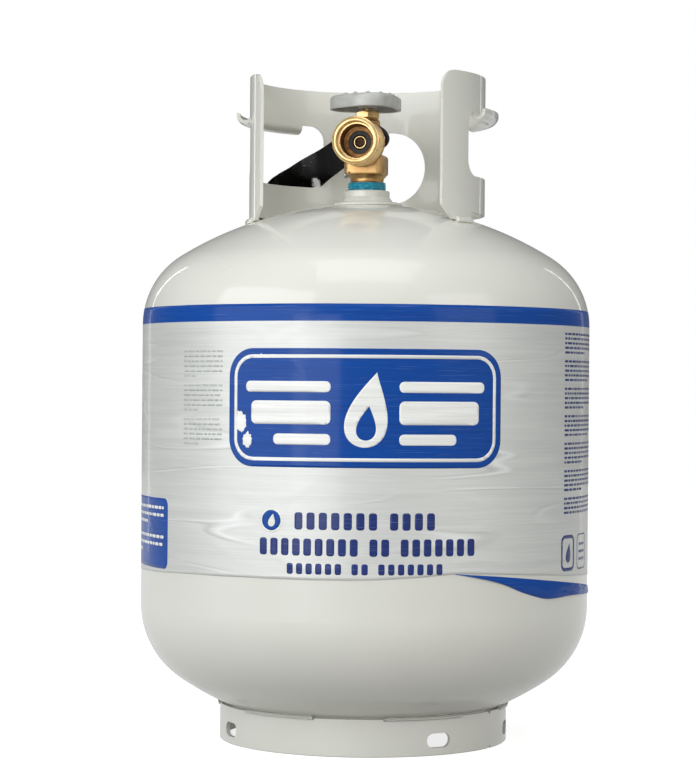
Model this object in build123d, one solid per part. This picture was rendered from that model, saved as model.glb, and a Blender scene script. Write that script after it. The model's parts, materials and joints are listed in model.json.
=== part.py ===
from build123d import *

import math
import os

# A refillable steel propane cylinder with its guard collar, foot ring and brass service valve.
# Millimetres. +Z is up and the origin is the centre of the foot ring's bottom edge. -Y is the front,
# where the collar is open and the valve's outlet points. Angles are counted from -Y towards +X.

# Pressure vessel
TANK_R = 155.0
WALL_T = 2.0
TOP_CROWN_R = 243.3
TOP_KNUCKLE_R = 55.6
TOP_TANGENT_Z = 286.3
TOP_APEX_Z = 370.4
BOTTOM_CROWN_R = 230.7
BOTTOM_KNUCKLE_R = 60.4
BOTTOM_TANGENT_Z = 93.1
BOTTOM_APEX_Z = 4.0
POLE_FLAT_R = 0.5
GIRTH_Z = 179.0
GIRTH_BEAD_HALF = 2.6
JOGGLE_LENGTH = 14.0
JOGGLE_GAP = 0.1

# Foot ring
FOOT_R = 99.5
FOOT_T = 2.8
FOOT_TOP_Z = 25.0
FOOT_SLOT_LENGTH = 18.0
FOOT_SLOT_HEIGHT = 9.5
FOOT_SLOT_Z = 10.0
FOOT_SLOT_ANGLES = (-52.0, 43.0, 92.0, 135.0, 180.0, -140.0, -98.0)
FOOT_SEAM_ANGLE = 72.0
FOOT_SEAM_NOTCH = 3.0
FOOT_BEAD_ANGLES = (-40.0, 20.0, 80.0, 140.0, 200.0, 260.0)
FOOT_BEAD_SPAN = 34.0
FOOT_BEAD_R = 2.4

# Guard collar
COLLAR_R = 82.0
COLLAR_T = 2.6
COLLAR_TOP_Z = 458.0
COLLAR_SKIRT_Z = 363.0
COLLAR_FOOT_Z = 357.2
COLLAR_OPEN_HALF = 50.65
FRONT_FOOT_END = 73.0
REAR_FOOT_SPAN = (148.0, 166.0)
POST_CORNER_R = 12.0
POST_CHAMFER = 9.5
HAND_HOLE_SPAN = (69.4, 144.4)
HAND_HOLE_Z = (388.0, 432.6)
HAND_HOLE_CORNER_R = 11.0
LIP_SPAN = (74.0, 131.0)
LIP_CENTRE = (85.3, 432.0)
LIP_MID_R = 4.6
LIP_TIP_ANGLE = 18.0
COLLAR_BEAD_SIZE = (4.4, 2.9)
REAR_HOLE_R = 26.0
REAR_HOLE_Z = 403.0

# Threaded spud welded into the crown
SPUD_TOP_Z = 380.0
SPUD_BOTTOM_Z = 363.0
SPUD_TOP_R = 15.8
SPUD_PLUG_R = 19.6
SPUD_BORE_R = 13.3
SPUD_FLARE_Z = 374.0
SPUD_BEAD_SIZE = (4.6, 2.0)

# Valve body, a brass forging on the tank's axis
SHANK_R = 12.3
SHANK_BOTTOM_Z = 362.0
SEALANT_TOP_Z = 386.0
SEALANT_BOTTOM_Z = 368.0
SEALANT_RIDGE = 0.55
NPT_PITCH = 1.814
NECK_R = 11.5
NECK_TOP_Z = 388.3
BLOCK_Z = (390.6, 405.0)
BLOCK_HALF_WIDTH = 14.0
BLOCK_Y = (-15.0, 9.0)
BLOCK_CORNER_R = 5.0
CORE_R = 8.9
BOSS_TOP_Z = 429.4
LINK_R = 10.5
OUTLET_Z = 412.0
OUTLET_INLET_R = 1.8
OUTLET_BACK_Y = -14.6
OUTLET_MOUTH_Y = -39.0
OUTLET_THREAD_R = 16.65
OUTLET_ROOT_R = 15.2
ACME_PITCH = 4.233
ACME_LAND = 1.9
ACME_TURNS = 5
MOUTH_BORE_R = 11.3
MOUTH_RIM_R = 13.2
MOUTH_RIM_DEPTH = 3.2
MOUTH_DEPTH = 15.0
POPPET_CHAMBER_R = 7.9
POPPET_CHAMBER_BACK_Y = -9.2
SEAT_Z = 400.0
INLET_R = 3.2
SEAT_CHAMBER_R = 7.2
SEAT_CHAMBER_TOP_Z = 409.0
HOLDER_BORE_R = 6.1
GLAND_THREAD_R = 6.6
GLAND_SEAT_Z = 424.0
RELIEF_Z = 397.5
RELIEF_BOSS_R = 7.4
RELIEF_MOUTH_Y = 21.5
RELIEF_BORE_R = 5.2
RELIEF_SEAT_Y = 8.0
RELIEF_INLET_R = 2.0
RELIEF_STEM_R = 1.5
RELIEF_HEAD_R = 4.4
RELIEF_SPRING = (3.2, 0.6, 4)
RELIEF_VENT_R = 0.75
RELIEF_VENT_DISTANCE = 3.3
OUTLET_SPRING = (4.6, 0.5, 3)
SEAL_RING_R = 4.7
POPPET_HEAD_R = 6.6
POPPET_TIP_R = 4.4
POPPET_STEM_R = 3.2
BLEED_Z = 392.6
BLEED_BORE_R = 2.05
BLEED_HEAD_R = 3.2
BLEED_PASSAGE_R = 0.8
VENT_X = -9.5
VENT_Z = 391.9
VENT_R = 0.65
RUNNING_FIT = 0.07

# Hand-operated shut-off
WHEEL_Z = (437.0, 446.4)
WHEEL_LOBE_R = 16.5
WHEEL_LOBE_DISTANCE = 10.0
WHEEL_LOBE_ANGLE = 28.0
WHEEL_SKIN_T = 2.6
WHEEL_HUB_R = 6.5
WHEEL_BUMP_COUNT = 12
WHEEL_BUMP_DISTANCE = 17.5
WHEEL_BUMP_R = 1.7
WHEEL_RIB_HALF = 0.8
WHEEL_SCREW_R = 1.2
WHEEL_SCREW_HEAD_R = 3.3
WHEEL_SCREW_POCKET = (4.2, 1.6)
HEX_FLATS = 16.0
HEX_Z = (431.0, 436.0)
HEX_TURN = 13.0
STEM_R = 3.0
STEM_DRIVE_R = 2.2
STEM_TOP_R = 2.4
HOLDER_TOP_Z = 417.5
HOLDER_NECK_R = 5.2
SEAT_SEAL_R = 4.8
SEAT_SEAL_TOP_Z = 402.2
STEM_SEAL_R = 0.7
STEM_FLANGE_BOTTOM_Z = 421.4
STEM_DRIVE_BOTTOM_Z = 412.5
SEAL_GAP = 0.3

# Overfill prevention device and level tube
OPD_X = 3.2
OPD_R = 7.4
OPD_THREAD_R = 6.3
OPD_SOCKET_TOP_Z = 376.0
OPD_BOTTOM_Z = 318.0
OPD_EAR_BOTTOM_Z = 300.0
OPD_BORE_R = 4.6
OPD_BORE_TOP_Z = 347.3
OPD_PASSAGE_R = 3.0
OPD_PORT_R = 1.4
OPD_PORT_Z = 345.6
OPD_GUIDE_R = 1.8
OPD_EAR_HALF = 4.0
OPD_EAR_Y = (3.2, 6.0)
PISTON_Z = (336.0, 342.5)
PISTON_SEAL_R = 3.8
PISTON_SEAL_TOP_Z = 344.2
PISTON_STEM_BOTTOM_Z = 310.5
PIVOT_Z = 305.0
PIVOT_R = 1.5
ARM_LENGTH = 62.0
ARM_HALF = (1.8, 2.2)
ARM_HUB_R = 4.4
ARM_HUB_HALF = 2.6
CAM_HALF = 2.6
CAM_REACH = 7.0
CAM_TURN = 75.0
FLOAT_DROP = 34.0
FLOAT_R = 10.0
FLOAT_LENGTH = 58.0
LEVEL_TUBE_X = -8.2
LEVEL_TUBE_R = 1.75
LEVEL_TUBE_BORE_R = 1.0
LEVEL_TUBE_Z = (278.0, 384.0)

# Dust plug and its tether
TETHER_RING_R = 13.0
TETHER_CORD_R = 1.5
TETHER_RING_Z = 418.0
TETHER_RING_TILT = 34.0
STRAP_WIDTH = 25.0
STRAP_T = 1.2
STRAP_EYE_R = 12.5
STRAP_OVERLAP = 5.0
PLUG_ANGLE = -124.1
PLUG_Z = 369.0
PLUG_STRAP_R = 102.0
PLUG_FLANGE_R = 15.0
PLUG_BODY_R = 11.1
PLUG_NECK_R = 4.0
PLUG_BODY_LENGTH = 18.0
PLUG_CAVITY_R = 8.9
STRAP_ROUTE = (
    (-5.6, 11.0, 417.5),
    (-19.9, 28.2, 414.0),
    (-34.1, 45.5, 410.0),
    (-49.7, 59.8, 404.5),
    (-64.8, 67.2, 399.0),
    (-77.0, 66.9, 390.5),
    (-82.3, 60.9, 381.0),
)

# Printed film around the body
LABEL_T = 0.3
LABEL_Z = (120.0, 296.5)
FLAP_SPAN = (38.0, 103.0)
FLAP_Z = (104.5, 121.5)
FLAP_TORN_END = 6.0
FLAP_R = 155.7
FLAP_T = 0.5


def heading(angle):
    """Turns an angle counted from -Y into one counted from +X, as rotations use."""
    return angle - 90.0


def around(angle, radius, z=0.0):
    """A point on the circle of that radius, at an angle counted from -Y towards +X."""
    turn = math.radians(angle)
    return Vector(radius * math.sin(turn), -radius * math.cos(turn), z)


def turned(points, start=0.0, span=360.0):
    """Revolves an (r, z) outline about the tank's axis, from one angle over a span."""
    face = make_face(Polyline(*[(r, 0, z) for r, z in points], close=True))
    body = revolve(face, Axis.Z, span)
    return Rot(0, 0, heading(start)) * body


def turned_face(wire_parts, start=0.0, span=360.0):
    """Revolves an outline that has arcs in it about the tank's axis."""
    body = revolve(make_face(wire_parts), Axis.Z, span)
    return Rot(0, 0, heading(start)) * body


def turned_bead(section, r, z, start=0.0, span=360.0):
    """Revolves a flat sketch, placed upright at a radius and a height, about the tank's axis."""
    face = (Pos(r, 0, z) * Rot(90, 0, 0) * section).face()
    return Rot(0, 0, heading(start)) * revolve(face, Axis.Z, span)


def turned_y(points, z, x=0.0):
    """Revolves an (r, y) outline about an axis along Y at that height."""
    axis = Axis((x, 0, z), (0, 1, 0))
    face = make_face(Polyline(*[(x + r, y, z) for r, y in points], close=True))
    return revolve(face, axis, 360)


def rod(radius, z_low, z_high, x=0.0, y=0.0):
    """An upright round bar between two heights."""
    return Pos(x, y, (z_low + z_high) / 2) * Cylinder(radius, z_high - z_low)


def rod_y(radius, y_low, y_high, z, x=0.0):
    """A round bar along Y."""
    return Pos(x, (y_low + y_high) / 2, z) * Rot(90, 0, 0) * Cylinder(radius, y_high - y_low)


def rod_x(radius, x_low, x_high, z, y=0.0):
    """A round bar along X."""
    return Pos((x_low + x_high) / 2, y, z) * Rot(0, 90, 0) * Cylinder(radius, x_high - x_low)


def block(x_span, y_span, z_span):
    """A plain box between three pairs of limits."""
    spans = (x_span, y_span, z_span)
    middle = [(low + high) / 2 for low, high in spans]
    size = [high - low for low, high in spans]
    return Pos(*middle) * Box(*size)


def sector(angles, r_span, z_span):
    """A piece of a ring between two angles, two radii and two heights."""
    (r_low, r_high), (z_low, z_high) = r_span, z_span
    outline = [(r_low, z_low), (r_high, z_low), (r_high, z_high), (r_low, z_high)]
    return turned(outline, angles[0], angles[1] - angles[0])


def crown_z(radius, offset=0.0):
    """Height of the top head's surface at a radius, offset outwards."""
    centre_z = TOP_APEX_Z - TOP_CROWN_R
    return centre_z + math.sqrt((TOP_CROWN_R + offset) ** 2 - radius ** 2)


def dish_z(radius, offset=0.0):
    """Height of the bottom head's surface at a radius, offset outwards."""
    centre_z = BOTTOM_APEX_Z + BOTTOM_CROWN_R
    return centre_z - math.sqrt((BOTTOM_CROWN_R + offset) ** 2 - radius ** 2)


def head_points(knuckle_r, knuckle_z, crown_r, apex_z, direction, offset):
    """The tangent points of one head's surface: wall, middle of the knuckle and start of the crown."""
    centre_r = TANK_R - knuckle_r
    crown_centre_z = apex_z - direction * crown_r
    slope = math.atan2(abs(knuckle_z - crown_centre_z), centre_r)
    radius = knuckle_r + offset
    points = []
    for share in (0.0, 0.5, 1.0):
        r = centre_r + radius * math.cos(slope * share)
        z = knuckle_z + direction * radius * math.sin(slope * share)
        points.append((r, z))
    return points


def head_edges(knuckle_r, knuckle_z, crown_r, apex_z, direction, offset, end_r):
    """The knuckle arc and the crown arc of one head's surface, from the wall to a radius near the axis."""
    wall, middle, crown = head_points(knuckle_r, knuckle_z, crown_r, apex_z, direction, offset)
    centre_z = apex_z - direction * crown_r
    big_r = crown_r + offset

    def on_crown(r):
        return (r, 0, centre_z + direction * math.sqrt(big_r ** 2 - r ** 2))

    half_r = (crown[0] + end_r) / 2
    knuckle_arc = ThreePointArc((wall[0], 0, wall[1]), (middle[0], 0, middle[1]), (crown[0], 0, crown[1]))
    crown_arc = ThreePointArc((crown[0], 0, crown[1]), on_crown(half_r), on_crown(end_r))
    return knuckle_arc, crown_arc


TOP_HEAD = (TOP_KNUCKLE_R, TOP_TANGENT_Z, TOP_CROWN_R, TOP_APEX_Z, 1)
BOTTOM_HEAD = (BOTTOM_KNUCKLE_R, BOTTOM_TANGENT_Z, BOTTOM_CROWN_R, BOTTOM_APEX_Z, -1)


def make_upper_shell():
    """Drawn upper half: straight wall, knuckle and crown, with a hole for the spud."""
    inner_r = TANK_R - WALL_T
    hole_r = SPUD_PLUG_R
    edge_z = GIRTH_Z + GIRTH_BEAD_HALF
    root_z = GIRTH_Z + 1.0
    outer = head_edges(*TOP_HEAD, 0.0, hole_r)
    inner = head_edges(*TOP_HEAD, -WALL_T, hole_r)
    outline = [
        *outer,
        *inner,
        Line((TANK_R, 0, edge_z), outer[0] @ 0),
        Line((inner_r, 0, root_z), inner[0] @ 0),
        Line((inner_r, 0, root_z), (TANK_R, 0, edge_z)),
        Line(outer[1] @ 1, inner[1] @ 1),
    ]
    return turned_face(outline)


def dished_solid(wall_points, offset):
    """Everything inside the bottom head's surface and the wall above it, up to the last point's height."""
    knuckle_arc, crown_arc = head_edges(*BOTTOM_HEAD, offset, POLE_FLAT_R)
    pole = crown_arc @ 1
    wall = Polyline(
        knuckle_arc @ 0,
        *[(r, 0, z) for r, z in wall_points],
        (0, 0, wall_points[-1][1]),
        (0, 0, pole.Z),
        pole,
    )
    return turned_face([knuckle_arc, crown_arc, wall])


def make_lower_shell():
    """Drawn lower half, its rim stepped inwards to sit inside the upper half."""
    inner_r = TANK_R - WALL_T
    step_r = inner_r - JOGGLE_GAP
    rim_z = GIRTH_Z + JOGGLE_LENGTH
    edge_z = GIRTH_Z - GIRTH_BEAD_HALF
    root_z = GIRTH_Z - 1.0
    outside = [(TANK_R, edge_z), (step_r, root_z), (step_r, rim_z)]
    inside = [(inner_r, edge_z - 4), (step_r - WALL_T, root_z - 2), (step_r - WALL_T, rim_z)]
    return dished_solid(outside, 0.0) - dished_solid(inside, -WALL_T)


def make_girth_weld():
    """Weld metal in the groove between the two halves."""
    inner_r = TANK_R - WALL_T
    return turned(
        [
            (inner_r, GIRTH_Z - 1.0),
            (TANK_R, GIRTH_Z - GIRTH_BEAD_HALF),
            (TANK_R, GIRTH_Z + GIRTH_BEAD_HALF),
            (inner_r, GIRTH_Z + 1.0),
        ]
    )


def make_foot_ring():
    """A rolled strip with drain slots, butted at one seam."""
    inner_r = FOOT_R - FOOT_T
    ring = turned([(inner_r, 0), (FOOT_R, 0), (FOOT_R, FOOT_TOP_Z), (inner_r, FOOT_TOP_Z)])
    ring = chamfer(ring.edges().group_by(Axis.Z)[0], 0.5)
    slot = extrude(SlotOverall(FOOT_SLOT_LENGTH, FOOT_SLOT_HEIGHT), 12, both=True)
    for angle in FOOT_SLOT_ANGLES:
        centre = around(angle, FOOT_R, FOOT_SLOT_Z)
        ring -= Pos(*centre) * Rot(0, 0, angle) * Rot(90, 0, 0) * slot
    notch = Rot(0, 45, 0) * Box(FOOT_SEAM_NOTCH, 12, FOOT_SEAM_NOTCH)
    for z in (0, FOOT_TOP_Z):
        ring -= Pos(*around(FOOT_SEAM_ANGLE, FOOT_R, z)) * Rot(0, 0, FOOT_SEAM_ANGLE) * notch
    return ring


def make_foot_ring_welds(neighbours):
    """Stitch welds between the foot ring's top edge and the bottom head."""
    bead_r = FOOT_R + 0.4
    bead_z = dish_z(bead_r) - FOOT_BEAD_R / 2
    beads = []
    for angle in FOOT_BEAD_ANGLES:
        bead = turned_bead(Circle(FOOT_BEAD_R), bead_r, bead_z, angle, FOOT_BEAD_SPAN)
        beads.append(bead - neighbours)
    return beads


def make_lip(start, span):
    """The hand-hole's rolled edge: a strip curled outwards and up."""
    centre_r, centre_z = LIP_CENTRE
    half = COLLAR_T / 2
    tip = math.radians(LIP_TIP_ANGLE)

    def point(radius, angle):
        return (centre_r + radius * math.cos(angle), 0, centre_z + radius * math.sin(angle))

    outer_r = LIP_MID_R + half
    inner_r = LIP_MID_R - half
    down = -math.pi / 2
    outer = ThreePointArc(point(outer_r, math.pi), point(outer_r, down), point(outer_r, tip))
    inner = ThreePointArc(point(inner_r, math.pi), point(inner_r, down), point(inner_r, tip))
    root_z = centre_z + 2.0
    outline = [
        outer,
        inner,
        Line(outer @ 1, inner @ 1),
        Polyline(
            outer @ 0,
            (centre_r - outer_r, 0, root_z),
            (centre_r - inner_r, 0, root_z),
            inner @ 0,
        ),
    ]
    return turned_face(outline, start, span)


def radial_edges(shape, angle, z):
    """The short edges across the collar's sheet at one angle and height."""
    middle = around(angle, COLLAR_R - COLLAR_T / 2, z)
    return [edge for edge in shape.edges() if (edge.center() - middle).length < 0.8]


def make_collar():
    """A C-shaped guard with two hand-holes, a rear hole and four feet."""
    wall_span = (COLLAR_R - COLLAR_T, COLLAR_R)
    cut_span = (COLLAR_R - 12, COLLAR_R + 20)
    front, rear = HAND_HOLE_SPAN
    low, high = HAND_HOLE_Z
    collar = sector((COLLAR_OPEN_HALF, 360 - COLLAR_OPEN_HALF), wall_span, (COLLAR_FOOT_Z, COLLAR_TOP_Z))
    gaps = (
        (FRONT_FOOT_END, REAR_FOOT_SPAN[0]),
        (REAR_FOOT_SPAN[1], 360 - REAR_FOOT_SPAN[1]),
        (360 - REAR_FOOT_SPAN[0], 360 - FRONT_FOOT_END),
    )
    for gap in gaps:
        collar -= sector(gap, cut_span, (COLLAR_FOOT_Z - 5, COLLAR_SKIRT_Z))
    for span in ((front, rear), (360 - rear, 360 - front)):
        collar -= sector(span, cut_span, (low, high))
    collar -= rod_y(REAR_HOLE_R, 60, 100, REAR_HOLE_Z)
    for side in (1, -1):
        post = side * COLLAR_OPEN_HALF
        collar = fillet(radial_edges(collar, post, COLLAR_TOP_Z), POST_CORNER_R)
        collar = chamfer(radial_edges(collar, post, COLLAR_FOOT_Z), POST_CHAMFER)
        for angle in (front, rear):
            for z in (low, high):
                collar = fillet(radial_edges(collar, side * angle, z), HAND_HOLE_CORNER_R)
        for angle in (FRONT_FOOT_END, *REAR_FOOT_SPAN):
            collar = fillet(radial_edges(collar, side * angle, COLLAR_SKIRT_Z), 2.5)
    span = LIP_SPAN[1] - LIP_SPAN[0]
    collar += make_lip(LIP_SPAN[0], span)
    collar += make_lip(360 - LIP_SPAN[1], span)
    return collar


def make_collar_welds(neighbours):
    """Fillet beads along the outside and inside of each collar foot."""
    spans = [
        (COLLAR_OPEN_HALF + 9, FRONT_FOOT_END - 1.5),
        (REAR_FOOT_SPAN[0] + 1.5, REAR_FOOT_SPAN[1] - 1.5),
    ]
    spans += [(360 - end, 360 - start) for start, end in spans]
    middle_r = COLLAR_R - COLLAR_T / 2
    beads = []
    for start, end in spans:
        bead = turned_bead(Ellipse(*COLLAR_BEAD_SIZE), middle_r, COLLAR_FOOT_Z - 0.5, start, end - start)
        beads.append(bead - neighbours)
    return beads


def make_spud():
    """Forged socket that takes the valve's tapered thread."""
    shoulder_z = crown_z(SPUD_PLUG_R)
    spud = turned(
        [
            (SPUD_BORE_R, SPUD_BOTTOM_Z),
            (SPUD_PLUG_R, SPUD_BOTTOM_Z),
            (SPUD_PLUG_R, shoulder_z),
            (SPUD_TOP_R + 1.2, SPUD_FLARE_Z),
            (SPUD_TOP_R, SPUD_FLARE_Z + 1.5),
            (SPUD_TOP_R, SPUD_TOP_Z - 0.6),
            (SPUD_TOP_R - 0.6, SPUD_TOP_Z),
            (SPUD_BORE_R + 0.5, SPUD_TOP_Z),
            (SPUD_BORE_R, SPUD_TOP_Z - 0.5),
        ]
    )
    return spud


def make_spud_weld(neighbours):
    """Fillet weld between the spud and the crown."""
    bead_r = SPUD_PLUG_R + 0.6
    bead = turned_bead(Ellipse(*SPUD_BEAD_SIZE), bead_r, crown_z(bead_r) + 0.2)
    return bead - neighbours


def ridged_outline(root_r, crest_r, low, high, pitch, inner_r):
    """An (r, position) outline with evenly spaced round-threaded crests."""
    points = [(inner_r, low), (root_r, low)]
    count = int((high - low) / pitch)
    for turn in range(count):
        base = low + turn * pitch
        points.append((crest_r, base + 0.35 * pitch))
        points.append((crest_r, base + 0.65 * pitch))
        points.append((root_r, base + pitch))
    if high - (low + count * pitch) > 0.05:
        points.append((root_r, high))
    points.append((inner_r, high))
    return points


def make_sealant():
    """Thread compound on the tapered thread, standing in ridges above the spud."""
    root_r = SPUD_BORE_R - SEALANT_RIDGE
    ridges = ridged_outline(root_r, SPUD_BORE_R, SPUD_TOP_Z, SEALANT_TOP_Z, NPT_PITCH, SHANK_R)
    sleeve = turned(
        [
            (SHANK_R, SEALANT_BOTTOM_Z),
            (SPUD_BORE_R, SEALANT_BOTTOM_Z),
            (SPUD_BORE_R, SPUD_TOP_Z - 0.5),
            (root_r, SPUD_TOP_Z),
            (SHANK_R, SPUD_TOP_Z),
        ]
    )
    return turned(ridges) + sleeve


def acme_outline():
    """The outlet's outside: (r, y) points from the mouth back to the shoulder, with round ridges."""
    crest = OUTLET_THREAD_R
    root = OUTLET_ROOT_R
    flank = (ACME_PITCH - ACME_LAND) / 4
    points = [(MOUTH_RIM_R, OUTLET_MOUTH_Y), (root - 0.3, OUTLET_MOUTH_Y), (root, OUTLET_MOUTH_Y + 0.3)]
    start = OUTLET_MOUTH_Y + 1.0
    for turn in range(ACME_TURNS):
        base = start + turn * ACME_PITCH
        points += [
            (root, base),
            (crest, base + flank),
            (crest, base + flank + ACME_LAND),
            (root, base + 2 * flank + ACME_LAND),
        ]
    points += [
        (root, OUTLET_BACK_Y - 3.0),
        (root - 1.0, OUTLET_BACK_Y),
        (0, OUTLET_BACK_Y),
        (0, OUTLET_MOUTH_Y + 5),
        (MOUTH_RIM_R, OUTLET_MOUTH_Y + 5),
    ]
    return points


def valve_body_outside():
    """The forging and its machined threads, before any passage is bored."""
    shank = rod(SHANK_R, SHANK_BOTTOM_Z, SEALANT_TOP_Z)
    neck = rod(NECK_R, SEALANT_TOP_Z, BLOCK_Z[0] + 1)
    flare = turned(
        [
            (0, NECK_TOP_Z),
            (NECK_R, NECK_TOP_Z),
            (BLOCK_HALF_WIDTH - 0.5, BLOCK_Z[0]),
            (0, BLOCK_Z[0] + 1),
        ]
    )
    base = block((-BLOCK_HALF_WIDTH, BLOCK_HALF_WIDTH), BLOCK_Y, BLOCK_Z)
    base = fillet(base.edges().filter_by(Axis.Z), BLOCK_CORNER_R)
    base = fillet(base.edges().group_by(Axis.Z)[-1], 3.0)
    base = chamfer(base.edges().group_by(Axis.Z)[0], 1.2)
    core = rod(CORE_R, BLOCK_Z[0] + 2, BOSS_TOP_Z)
    core = chamfer(core.edges().group_by(Axis.Z)[-1], 0.8)
    web = block((-CORE_R, CORE_R), (OUTLET_BACK_Y, 0), (BLOCK_Z[1] - 3, OUTLET_Z))
    link = rod_y(LINK_R, OUTLET_BACK_Y - 1, 0, OUTLET_Z)
    relief = rod_y(RELIEF_BOSS_R, 2, RELIEF_MOUTH_Y, RELIEF_Z)
    relief = chamfer(relief.edges().group_by(Axis.Y)[-1], 1.0)
    outlet = turned_y(acme_outline(), OUTLET_Z)
    return shank + neck + flare + base + core + web + link + relief + outlet


def make_valve_body():
    """The brass body with every passage bored."""
    body = valve_body_outside()
    mouth_floor_y = OUTLET_MOUTH_Y + MOUTH_DEPTH
    rim = turned_y(
        [
            (0, OUTLET_MOUTH_Y - 1),
            (MOUTH_RIM_R, OUTLET_MOUTH_Y - 1),
            (MOUTH_RIM_R, OUTLET_MOUTH_Y + 0.6),
            (MOUTH_BORE_R, OUTLET_MOUTH_Y + MOUTH_RIM_DEPTH),
            (MOUTH_BORE_R, mouth_floor_y),
            (0, mouth_floor_y),
        ],
        OUTLET_Z,
    )
    body -= rim
    body -= rod_y(POPPET_CHAMBER_R, mouth_floor_y - 0.5, POPPET_CHAMBER_BACK_Y, OUTLET_Z)
    body -= rod_y(OUTLET_INLET_R, POPPET_CHAMBER_BACK_Y - 1, -5, OUTLET_Z - 5.6)
    body -= rod(SEAT_CHAMBER_R, SEAT_Z, SEAT_CHAMBER_TOP_Z)
    body -= rod(INLET_R, OPD_SOCKET_TOP_Z - 1, SEAT_Z + 1)
    body -= rod(HOLDER_BORE_R, SEAT_CHAMBER_TOP_Z - 1, GLAND_SEAT_Z + 1)
    body -= rod(GLAND_THREAD_R, GLAND_SEAT_Z, BOSS_TOP_Z + 1)
    body -= rod(OPD_THREAD_R, SHANK_BOTTOM_Z - 1, OPD_SOCKET_TOP_Z, OPD_X)
    body -= rod(LEVEL_TUBE_R, SHANK_BOTTOM_Z - 1, LEVEL_TUBE_Z[1], LEVEL_TUBE_X)
    body -= rod(BLEED_PASSAGE_R, LEVEL_TUBE_Z[1] - 1, BLEED_Z, LEVEL_TUBE_X)
    body -= rod_x(BLEED_BORE_R, -BLOCK_HALF_WIDTH - 1, LEVEL_TUBE_X - 1.0, BLEED_Z)
    body -= rod_x(BLEED_PASSAGE_R, LEVEL_TUBE_X - 1.5, LEVEL_TUBE_X + 0.5, BLEED_Z)
    body -= rod_y(VENT_R, BLOCK_Y[0] - 1, 0, VENT_Z, VENT_X)
    body -= rod_y(RELIEF_BORE_R, RELIEF_SEAT_Y, RELIEF_MOUTH_Y + 1, RELIEF_Z)
    body -= rod_y(RELIEF_INLET_R, 0, RELIEF_SEAT_Y + 1, RELIEF_Z)
    return body


def make_gland_nut():
    """Hexagonal bonnet nut that holds the stem down, with a seal groove inside."""
    corner_r = HEX_FLATS / math.sqrt(3)
    low, high = HEX_Z
    hexagon = extrude(RegularPolygon(corner_r, 6, rotation=heading(HEX_TURN)), high - low)
    cone = turned(
        [
            (0, low),
            (corner_r + 1, low),
            (corner_r + 1, high - 1.6),
            (HEX_FLATS / 2 - 0.6, high),
            (0, high),
        ]
    )
    nut = (Pos(0, 0, low) * hexagon) & cone
    nut += rod(GLAND_THREAD_R, GLAND_SEAT_Z, HEX_Z[0])
    nut -= rod(STEM_R + RUNNING_FIT, GLAND_SEAT_Z - 1, HEX_Z[1] + 1)
    nut -= rod(STEM_R + 1.6, HEX_Z[0] - 2.4, HEX_Z[0] - 0.4)
    return nut


def make_gland_washer():
    """Flat washer crimped between the boss and the nut's hexagon."""
    outer_r = HEX_FLATS / 2 - 0.4
    return turned(
        [
            (GLAND_THREAD_R, BOSS_TOP_Z),
            (outer_r - 0.3, BOSS_TOP_Z),
            (outer_r, BOSS_TOP_Z + 0.4),
            (outer_r - 0.3, HEX_Z[0]),
            (GLAND_THREAD_R, HEX_Z[0]),
        ]
    )


def make_stem_seal():
    """O-ring around the stem, inside the gland nut."""
    return turned_bead(Circle(STEM_SEAL_R), STEM_R + STEM_SEAL_R + 0.16, HEX_Z[0] - 1.4)


def make_stem():
    """Non-rising stem: flange under the nut, drive spigot below and wheel spigot on top."""
    stem = rod(STEM_R, GLAND_SEAT_Z - 0.5, WHEEL_Z[0] + 0.6)
    stem += rod(HOLDER_BORE_R - 0.4, STEM_FLANGE_BOTTOM_Z, GLAND_SEAT_Z - SEAL_GAP)
    stem += rod(STEM_DRIVE_R, STEM_DRIVE_BOTTOM_Z, GLAND_SEAT_Z - 1)
    stem += rod(STEM_TOP_R, WHEEL_Z[0], WHEEL_Z[0] + 5.5)
    stem -= rod(1.25, WHEEL_Z[0] + 0.5, WHEEL_Z[0] + 7)
    return stem


def make_seat_holder():
    """Threaded carrier that the stem drives up and down, holding the main seal."""
    guide_r = HOLDER_BORE_R - RUNNING_FIT
    holder = rod(guide_r, SEAT_CHAMBER_TOP_Z - 2.5, HOLDER_TOP_Z)
    holder += rod(HOLDER_NECK_R, SEAT_SEAL_TOP_Z, SEAT_CHAMBER_TOP_Z - 2)
    holder -= rod(STEM_DRIVE_R + RUNNING_FIT, HOLDER_TOP_Z - 9.5, HOLDER_TOP_Z + 1)
    return holder


def make_seat_seal():
    """Soft disc that closes the main seat."""
    return rod(SEAT_SEAL_R, SEAT_Z + SEAL_GAP, SEAT_SEAL_TOP_Z)


def wheel_outline(inset):
    """The handwheel's three-lobed outline, drawn smaller by an inset."""
    triangle = RegularPolygon(WHEEL_LOBE_DISTANCE, 3, rotation=heading(WHEEL_LOBE_ANGLE))
    return offset(triangle, WHEEL_LOBE_R - inset)


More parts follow.
